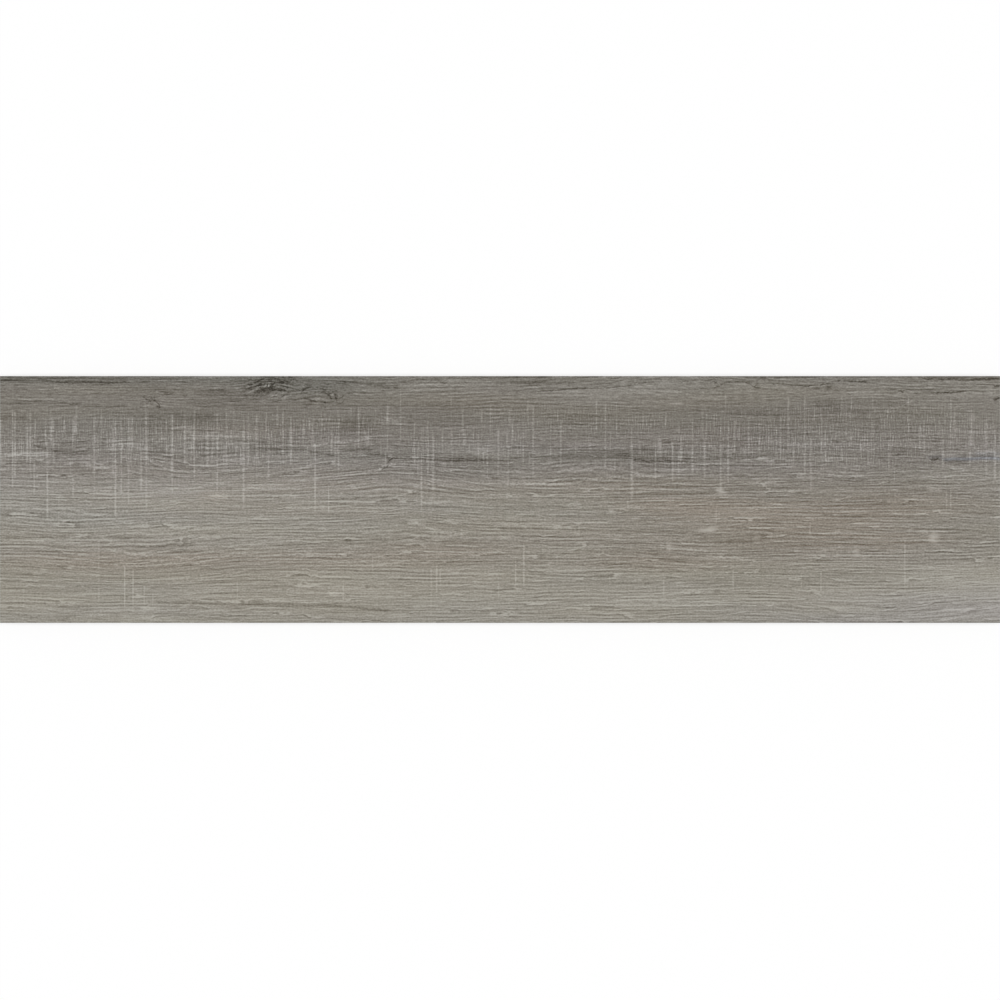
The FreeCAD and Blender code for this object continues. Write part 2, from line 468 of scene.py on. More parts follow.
# Dark streaks: half width, levels at the middle, then points (from left, down)
DARK_STREAKS = (
    # Upper edge and the dark vein under it, left quarter
    (0.6, 34, (0, 2.2), (8, 2.4), (16, 2.3)),
    (1.1, 14, (0, 0.9), (16, 0.8), (30, 1.4), (44, 2.2), (60, 2.2), (76, 1.6)),
    (0.6, 26, (24, 1.9), (28, 2.6), (32, 3.2)),
    (0.55, 42, (31.4, 3.3), (36.7, 3.9), (43, 4.2)),
    (0.5, 34, (42, 4.1), (50, 3.8), (58.8, 3.6)),
    (0.5, 36, (58, 3.7), (64.3, 4.2), (72, 3.9)),
    (0.45, 34, (72.4, 4), (75, 3.4), (77.4, 3.9)),
    (0.45, 26, (56, 5), (60, 5), (65, 5.5)),
    (0.45, 26, (84, 3.7), (87, 3.5), (90, 3.1)),
    (0.4, 20, (0, 9.4), (8, 8.5), (12, 7.8), (21, 7.8)),
    (0.4, 20, (28, 8.4), (36, 8.3)),
    (0.4, 20, (42.6, 10.2), (46.6, 9.6)),
    (0.4, 20, (56.6, 10.3), (61, 9.6)),
    (0.4, 22, (8, 14.2), (14, 14.7), (20, 14.9), (30, 14.8), (41, 16.2)),
    (0.45, 28, (8.4, 16.1), (12, 16.3), (16, 16.9)),
    (0.5, 34, (41.6, 16.9), (47.6, 16.5)),
    (0.45, 24, (47.6, 17.3), (55, 18.3), (64, 18.4)),
    (0.45, 30, (63, 18.4), (70, 18.3), (78, 18.1)),
    (0.4, 26, (92.2, 9.1), (93.8, 9)),
    (0.5, 32, (95.6, 9), (97.4, 9.4), (99.2, 9.7), (101.6, 9.6)),
    (0.45, 34, (98.6, 10.9), (100.0, 10.8)),
    (0.45, 32, (100.4, 11), (101.8, 10.8), (103.6, 10.6)),
    (0.4, 20, (103.6, 9.9), (107, 9.6)),
    (0.45, 30, (110.0, 11.5), (111.0, 12), (112.4, 11.8)),
    (0.4, 22, (109, 3.8), (120, 2.8), (124, 2.5)),
    (0.45, 28, (125.4, 8.5), (130, 8.4), (136, 8)),
    (1.5, 12, (118, 9.6), (128, 9.8), (140, 9.6)),
    (0.4, 24, (114, 16.1), (124, 16.3), (131, 16)),
    (0.4, 18, (121, 18.3), (134, 18.3)),
    (0.4, 20, (138, 15.1), (145, 14.9)),
    (0.4, 20, (113.6, 13.7), (116.4, 14)),
    (0.45, 26, (137, 2.5), (147, 2.3)),
    # Small hooked knot
    (0.6, 56, (90.8, 13), (91.6, 14.2), (92.4, 14.8), (93.9, 15.4), (95.1, 16.5), (96.3, 18.3)),
    (0.6, 70, (94.6, 18.4), (95.6, 18.9), (96.3, 18.6)),
    (0.55, 50, (86.4, 12.7), (87.9, 13.9), (89.1, 14.4), (90.6, 15.1)),
    (0.4, 30, (89.2, 12.3), (90.8, 12)),
    (0.4, 30, (91.8, 12.4), (93.4, 12.7)),
    (0.4, 28, (87.4, 16.3), (88.9, 16.1)),
    (0.4, 28, (90.0, 16.5), (91.6, 16.9)),
    (0.45, 32, (83.0, 18.3), (84.6, 18.4), (86.2, 18.8)),
    (0.4, 24, (80.2, 18.5), (82.0, 18.7)),
    (0.4, 26, (81.8, 10.6), (84.4, 10.8)),
    # Large knot, upper half
    (0.45, 30, (148.6, 2.1), (151.2, 1.8)),
    (0.4, 26, (153.2, 2.1), (154.6, 1.7)),
    (0.45, 46, (152.4, 3.9), (154.2, 3.4), (156.3, 2.4), (158.4, 1.6)),
    (0.5, 48, (153.6, 5.9), (155.4, 4.9), (157.0, 4)),
    (0.45, 34, (148.6, 4.6), (150.0, 5.3), (151.8, 5.3)),
    (0.6, 46, (159.9, 6.4), (160.6, 5.6), (161.1, 4.9)),
    (0.8, 66, (162.6, 5), (164.4, 5.1)),
    (0.5, 40, (164.2, 4.6), (165.4, 3.7)),
    (0.9, 50, (167.9, 3.5), (169.2, 3.9), (170.3, 4)),
    (0.5, 38, (170.4, 2.9), (172.2, 3.3), (173.4, 4)),
    (0.6, 46, (166.4, 2.3), (167.2, 1.7)),
    (0.5, 34, (164.4, 1.3), (165.4, 1.8)),
    (0.4, 26, (161.4, 2.8), (163.4, 2.7)),
    (0.5, 50, (169.4, 0.7), (170.5, 0.8)),
    (0.5, 44, (173.3, 0.6), (175.4, 1)),
    (0.5, 36, (174.1, 2.8), (175.0, 2.4)),
    (0.5, 36, (175.7, 2.2), (176.5, 1.9)),
    (0.5, 32, (159.4, 1), (162, 0.9), (166, 0.8)),
    # Large knot, lower half
    (0.5, 44, (146.6, 7.3), (149.4, 7.3), (151.4, 6.7), (154.0, 6.1)),
    (0.6, 52, (155.0, 7.4), (156.2, 7), (157.0, 6.4)),
    (0.5, 34, (153.8, 8.7), (155.2, 8.5)),
    (0.5, 38, (154.6, 10.2), (155.8, 9.8)),
    (0.6, 38, (156.6, 10.9), (158.2, 9.7), (159.2, 8.8)),
    (0.8, 34, (157.5, 7.2), (158.3, 6)),
    (0.5, 44, (161.8, 6.4), (162.7, 6)),
    (0.5, 42, (160.7, 7.5), (161.6, 7)),
    (0.5, 42, (162.6, 7.5), (163.6, 7)),
    (0.45, 36, (163.3, 8.5), (166.6, 8.5)),
    (0.5, 38, (167.3, 8.2), (168.4, 8.6), (169.6, 8.3)),
    (0.5, 38, (170.5, 8.8), (171.4, 8.3)),
    (0.5, 34, (172.4, 7.2), (173.4, 7)),
    (0.6, 36, (156.8, 11.2), (158.8, 11.9), (160.4, 10.8), (161.6, 10.1)),
    # Under the large knot
    (0.4, 28, (146.6, 11.4), (148.2, 11.3)),
    (0.4, 28, (149.0, 11.5), (150.4, 11.5)),
    (0.4, 28, (151.7, 11.5), (153.0, 11.4)),
    (0.4, 26, (146.3, 13.3), (149.0, 12.9)),
    (0.4, 22, (149.2, 14.5), (152.4, 14.2)),
    (0.4, 24, (152.0, 13.3), (154.2, 13.9)),
    (0.4, 22, (155.8, 12.1), (156.8, 12.4)),
    (0.5, 30, (164.0, 12.8), (166.6, 11.8)),
    (0.4, 28, (166.6, 12.4), (168.0, 13.3)),
    (0.5, 32, (168.4, 13.1), (170.0, 11.9), (171.4, 11.1)),
    (0.4, 26, (163.0, 15.5), (165.6, 15.2), (168.4, 14.8)),
    (0.4, 24, (172.2, 10), (173.8, 10.1)),
    (0.4, 24, (172.8, 12.5), (175.0, 12.2), (177.8, 12.3)),
    (0.4, 26, (175.2, 14.7), (179.0, 14.4)),
    # Whorl to the right of it
    (0.6, 42, (180.8, 9.8), (182.2, 8.2), (183.8, 7.4), (186.0, 6.8)),
    (0.4, 30, (182.4, 10.4), (184.4, 10.2)),
    (0.45, 32, (184.8, 11.6), (185.6, 11.5)),
    (0.45, 30, (185.8, 10.4), (186.6, 10.2)),
    (0.6, 46, (182.6, 13.1), (184.4, 13.9), (186.2, 14.5), (188.0, 14.6), (190.0, 15.2)),
    (0.4, 28, (189.4, 6.7), (191.4, 7.2), (193.8, 7.9)),
    (0.4, 28, (188.8, 9.8), (190.4, 9.4)),
    (0.4, 28, (192.4, 10.2), (193.4, 10.2)),
    (0.4, 26, (192.4, 15.6), (194.4, 15.6)),
    (0.6, 60, (194.4, 15.6), (195.4, 15.7)),
    (0.4, 32, (196.4, 15.6), (199.0, 15.3), (201.4, 14.7)),
    (0.7, 48, (200.6, 11.5), (201.4, 13), (202.1, 14.1), (202.3, 14.8)),
    (0.6, 38, (193.8, 7.9), (194.4, 9.4), (195.4, 10.3), (196.8, 11.2), (198.0, 12.1), (198.6, 13.4)),
    (0.6, 50, (198.2, 13.5), (199.2, 13.6)),
    (0.5, 38, (194.9, 8.1), (195.9, 8)),
    (0.45, 34, (196.0, 6.9), (197.0, 6.9)),
    (0.45, 34, (196.2, 9), (197.4, 10), (198.8, 10.2)),
    (0.45, 34, (197.7, 8.4), (198.7, 8.3)),
    (0.6, 48, (199.2, 9.3), (200.2, 9.4)),
    (0.45, 32, (201.2, 10.9), (202.0, 10.9)),
    (0.4, 28, (200.8, 8.8), (202.4, 9.1)),
    (0.5, 36, (203.6, 13.5), (204.8, 12.5), (206.4, 11.9)),
    (0.45, 34, (201.8, 17.3), (203.6, 16.6), (205.2, 16.1)),
    (0.4, 26, (205.2, 15), (206.6, 15.5)),
    (0.45, 28, (181.6, 16.6), (184.2, 17.2), (187.4, 17.2)),
    (0.4, 26, (182.2, 19), (184.8, 18.7)),
    (0.4, 26, (192.4, 18.5), (193.6, 18.9)),
    (0.4, 24, (194.6, 18.7), (195.6, 18.8)),
    (0.45, 30, (178.8, 8.2), (179.6, 8.2)),
    (0.4, 26, (196.0, 5.1), (197.6, 4.9)),
    (0.4, 24, (182.8, 5.2), (185.0, 5)),
    (0.45, 28, (205.6, 3.2), (210.0, 3.4), (215.0, 3.8)),
    (0.45, 28, (206, 5), (208.8, 5.4), (210.8, 6)),
    (0.4, 24, (201.4, 4), (204.2, 4.6)),
    (0.4, 26, (208, 10.6), (209.6, 10.3), (212.0, 10.2)),
    (1.2, 12, (219, 5.4), (228, 6.2), (240, 7.2)),
    (0.5, 30, (225.8, 5.4), (229.2, 5.5)),
    (0.5, 32, (236.2, 7.1), (238.8, 7)),
    (0.45, 24, (229.4, 7.1), (234, 7.2)),
    (0.45, 24, (228.4, 8.9), (231.2, 9.2)),
    (0.45, 24, (241.2, 4.5), (246.2, 5.8)),
    # Upper edge, middle
    (0.45, 26, (245, 1.8), (254, 2.1), (264, 2.3)),
    (0.45, 18, (262, 3), (267.4, 4.6), (270.4, 6.3)),
    (0.4, 16, (258, 6.9), (270, 6.7)),
    (0.4, 14, (248, 10.1), (262, 9.8), (277, 9.6)),
    (2.0, 8, (258, 0.8), (284, 1), (312, 1)),
    (0.45, 20, (298, 4), (304, 3.9)),
    (0.8, 24, (306, 3.4), (312, 4.1), (318, 4.2), (324, 3.2), (329, 3.2)),
    (0.5, 30, (321, 0.7), (328, 0.7)),
    (0.4, 16, (253, 16.6), (270, 18)),
    (0.4, 26, (325.2, 7.2), (329, 6.3)),
    (0.4, 15, (298, 9.4), (310, 9.5), (320, 9.3)),
    (0.45, 30, (319, 9.2), (328.5, 9.1), (332, 8.5), (339.5, 8), (346, 7.3)),
    (0.45, 30, (345, 7.3), (359, 7.3), (366, 6.8), (374, 6.1)),
    (0.45, 29, (373, 6.1), (380, 5.3), (386, 3.9), (394, 3.4)),
    (0.4, 22, (341.6, 5.2), (346.4, 5.8)),
    (0.4, 18, (358.6, 4.4), (366, 4.2), (371.4, 3.2)),
    (0.5, 26, (364.6, 2.6), (368, 1.2), (372.6, 0.7)),
    (0.4, 22, (379.6, 2.8), (388, 2.4), (391.8, 1.8)),
    (0.4, 22, (379.6, 1.3), (386, 0.7)),
    (0.4, 20, (393.4, 1.6), (397.4, 1.8)),
    (0.4, 27, (402.6, 3.7), (410, 3.4), (415.8, 2.9)),
    (0.4, 24, (403.6, 7.9), (408.4, 8.6)),
    (0.4, 16, (409, 8.3), (417, 7.8), (428, 6.9)),
    (0.4, 16, (395.4, 7.6), (400, 7.6)),
    (0.4, 22, (422, 2.8), (426, 2.4), (428.6, 1.4), (431, 0.6)),
    (0.8, 52, (428.6, 3.9), (429.9, 3.9)),
    (0.4, 20, (422.6, 9.7), (425.2, 9.8)),
    (0.5, 27, (427, 7.1), (431.5, 6.2), (434.2, 4.5), (436, 3.7), (440.2, 3.2)),
    (0.5, 27, (440, 3.2), (446.2, 3.2), (449.4, 4.4), (452, 6)),
    (0.5, 36, (451, 6), (453, 6.6), (456, 7.1)),
    (0.5, 20, (455, 7.1), (461.3, 8), (469, 8.5)),
    (0.5, 36, (453.8, 4.8), (455.0, 4.8)),
    (0.4, 18, (447, 0.9), (455.4, 1.1)),
    (1.2, 38, (456.4, 1.4), (459.2, 1.6)),
    # Upper edge, right: check in the wood, small knots, dark rim
    (0.45, 30, (461.6, 4.8), (467, 4.6), (471.6, 4.9)),
    (0.45, 44, (470.6, 4.8), (475.2, 5.5), (480, 5.8)),
    (0.5, 58, (478.8, 5.7), (484.5, 6.1), (487.4, 5.7)),
    (0.45, 30, (487, 5.7), (492, 5.9), (494, 4.8), (500.4, 4.6)),
    (1.1, 34, (495.6, 6.8), (498.8, 6.8)),
    (0.5, 30, (487.6, 7.5), (491.2, 7.7)),
    (0.4, 20, (465.6, 0.8), (478, 0.7), (490, 0.7)),
    (0.45, 44, (501.6, 2.2), (504.2, 3)),
    (0.45, 40, (505.8, 3), (508.0, 2.8)),
    (0.45, 54, (508.6, 3.1), (512.8, 3.3)),
    (0.45, 52, (513.4, 3.4), (520.8, 3.6)),
    (0.45, 22, (521.6, 4.1), (524.6, 4.1)),
    (0.45, 24, (531.6, 8.3), (539.6, 8.3)),
    (0.5, 50, (539.2, 8.8), (542.0, 9.6)),
    (0.4, 24, (541, 8.2), (560, 8), (571.4, 6.9)),
    (0.4, 24, (553.6, 9.4), (559.4, 9.4)),
    (0.5, 62, (559.8, 10.1), (564.7, 10), (569.6, 9.8), (573.2, 9.7)),
    (0.45, 56, (572, 9.8), (576.2, 9.3), (579.4, 8.9)),
    (0.4, 26, (579, 8.9), (583.4, 8.5), (589.6, 9.5)),
    (0.4, 28, (549.8, 10.3), (551.6, 10.4)),
    (0.5, 50, (552, 1), (556.4, 1.9), (560.2, 1.6)),
    (0.6, 36, (560.4, 2.4), (567.5, 1.8), (572, 1.9), (581, 2.5)),
    (0.6, 44, (580, 2.5), (584, 2.2), (590, 1.9), (600, 1.6)),
    (1.2, 16, (556, 0.7), (580, 0.8), (600, 0.8)),
    (1.3, 20, (592, 1), (600, 0.9)),
    (0.55, 56, (596.2, 6.3), (600, 5.6)),
    (0.5, 58, (596.0, 15.1), (597.6, 13.9), (600, 13)),
    (0.5, 30, (542, 20.8), (544, 20.8)),
    # Sawn band, left
    (1.6, 14, (0, 25.4), (10, 25.4), (20, 26.2)),
    (0.5, 26, (20, 41.2), (24, 42.9), (29, 43.6)),
    (0.5, 24, (29, 44), (38, 45.6), (46, 45.8)),
    (0.5, 22, (32, 46.2), (42, 47.2), (52, 46.9)),
    (0.5, 20, (46, 44.8), (54, 45.6)),
    (0.6, 14, (38, 39.8), (54, 39.5)),
    (1.8, 13, (90, 42.5), (100, 43.8)),
    (0.7, 18, (88, 24), (100, 26.2)),
    (2.6, 12, (104, 24), (112, 25), (127, 25)),
    (0.5, 20, (104, 55.1), (116, 55.8), (130, 56.2)),
    (0.8, 16, (118, 44.8), (125, 45)),
    (0.6, 12, (62, 47.6), (72, 48.6)),
    # Sawn band, the long dark vein
    (0.6, 16, (150, 43), (166, 44), (184, 44.7)),
    (0.6, 22, (184, 44.8), (196, 47), (208, 48.6), (222, 48.7)),
    (0.9, 26, (205, 44.3), (214, 44.3), (223, 44)),
    (0.8, 28, (220, 47.3), (227, 47.2), (233, 48.3)),
    (0.7, 28, (232, 48.8), (240, 49.4), (252, 49.8), (263, 50)),
    (1.0, 20, (262, 49.6), (272, 50.2), (286, 50.2), (302, 51)),
    (0.5, 14, (272, 47.4), (290, 47.8)),
    (0.8, 18, (302, 50.6), (318, 48), (340, 48.6)),
    (1.6, 10, (336, 48), (354, 48), (367, 48.6), (384, 50), (398, 51.2)),
    (0.6, 20, (374, 49.6), (384, 50.2), (396, 51)),
    (0.7, 13, (334, 44.6), (362, 44.2), (394, 44.2)),
    (0.6, 24, (390, 51), (404, 51.6), (418, 51.6)),
    (0.7, 22, (420, 50.2), (434, 49.6), (452, 49.4)),
    (0.6, 14, (450, 50.4), (458, 51.2)),
    (0.6, 14, (338, 24.2), (352, 24.4), (368, 23.7)),
    (0.6, 12, (398, 38.6), (406, 39), (414, 40.6)),
    (0.6, 14, (436, 22.2), (452, 22.4), (468, 23.2)),
    (2.6, 12, (206, 29), (216, 29), (222, 31)),
    (3.0, 12, (490, 17.5), (498, 18), (505, 20)),
    (2.0, 13, (512, 22), (520, 22.4)),
    (3.0, 8, (524, 16), (535, 17), (545, 18)),
    (1.6, 10, (534, 46), (548, 46.6), (556, 48)),
    (0.6, 14, (528, 50), (540, 51.6), (560, 51.8)),
    (1.2, 26, (558, 50), (562, 49.6), (567, 49.2)),
    (0.5, 30, (370, 47.2), (374, 47.4), (378.6, 47.4)),
    (0.6, 30, (379, 50), (384, 50.5), (391, 51.1)),
    (0.5, 30, (391, 51.1), (404, 51), (415, 51.4)),
    (0.5, 26, (394.6, 49.2), (401, 49.2)),
    (0.5, 24, (409.4, 49.4), (414.8, 49.5)),
    (0.5, 26, (422.6, 50), (427, 49.8), (432, 49.4)),
    (0.5, 18, (387, 53.8), (404, 53.9), (420, 54.2)),
    (0.45, 20, (383, 38.4), (392, 38.4)),
    (0.45, 26, (396.7, 38.2), (402.7, 38.4)),
    (0.45, 26, (396.7, 39.6), (402.7, 40.4)),
    (0.5, 20, (360, 44.4), (378, 44.5), (391, 45.2)),
    (1.0, 14, (261, 50.6), (266, 50.4), (274, 50.2)),
    (0.6, 30, (264, 51), (272, 50.8), (280, 50.7)),
    (0.6, 34, (279, 50.4), (286, 50.3), (293.8, 50.4)),
    (0.5, 22, (270, 49), (282, 49.2), (290, 49.4)),
    (0.55, 64, (232.8, 51.2), (234.4, 50.1), (236.0, 48.8)),
    (0.6, 56, (229.3, 55.6), (231.6, 54.6), (233.2, 53.4)),
    (0.5, 24, (222, 48), (226, 48), (231, 48.4)),
    (1.1, 22, (557.6, 48.8), (561, 48), (564.4, 47.6)),
    (0.5, 32, (558.8, 51.8), (561, 50.4), (563.6, 48.6)),
    (1.2, 26, (566.6, 50.8), (572, 51.2), (581.4, 50.8)),
    (1.0, 16, (280, 50.6), (288, 50.4), (295, 50.5)),
    (0.5, 36, (584, 48), (590, 48), (595.4, 48.1)),
    (0.45, 26, (573, 48.4), (579.6, 48.5)),
    (0.45, 26, (556.4, 39), (564.2, 39.1)),
    # Open grain, lower half
    (0.5, 16, (492, 83.3), (508, 84.2), (522.7, 85)),
    (0.5, 20, (524.6, 138.8), (539, 138.7)),
    (0.7, 14, (357, 138.8), (372.7, 138.8)),
    (0.6, 16, (0, 97.7), (18, 97), (40, 96.2)),
    (0.6, 14, (28, 102.4), (41, 102.6)),
    (0.6, 12, (66, 97.2), (86, 96.8)),
    (0.6, 20, (93, 101.9), (104, 102.1), (117, 101.6)),
    (0.6, 15, (101, 105.5), (121, 105.4)),
    (0.5, 12, (0, 84), (14, 83.5), (24, 84.2)),
    (0.7, 16, (300, 91.3), (312, 91.5), (324, 91.2)),
    (0.6, 12, (344, 89.2), (354, 88.8)),
    (0.6, 20, (360, 111.8), (376, 113.2), (392, 114.8)),
    (2.0, 13, (390, 108.4), (402, 110), (412, 111.4)),
    (0.6, 15, (430, 99.8), (452, 100.2)),
    (0.6, 12, (452, 89), (466, 88.6), (478, 88.8)),
    (0.6, 18, (498, 98.2), (513, 98.6)),
    (0.8, 16, (515, 105.4), (524, 105), (533, 104.6)),
    (0.6, 12, (583, 109.6), (600, 109)),
    (0.6, 12, (228, 125.4), (248, 125.1)),
    (0.6, 12, (260, 124.2), (288, 124.4)),
    (0.6, 14, (411, 124.2), (430, 125), (452, 125.4)),
    (0.9, 18, (440, 124.6), (447, 124.8)),
    (0.6, 18, (450, 124.8), (470, 125.8), (490, 125.2)),
    (0.6, 11, (530, 128.2), (548, 127.4), (564, 127)),
    # Long vein near the lower edge
    (0.9, 14, (34, 138), (44, 139.2), (54, 140.2)),
    (0.8, 20, (94, 135.6), (112, 136), (128, 136.6), (142, 137.9), (152, 136.8)),
    (0.8, 14, (94, 142.6), (120, 143.2), (152, 143.2)),
    (0.8, 24, (150, 136.8), (170, 137.8), (196, 137.6), (216, 139), (234, 141.2)),
    (0.7, 18, (212, 138.9), (219, 139.8), (226, 140.2)),
    (0.7, 16, (268, 141.8), (286, 141.4), (302, 141.2), (313, 141.8)),
    (0.6, 12, (238, 137.4), (256, 137.2)),
    (0.6, 12, (353, 138), (370, 137.8)),
    (1.0, 8, (450, 146.9), (474, 146.2), (500, 146.4)),
)

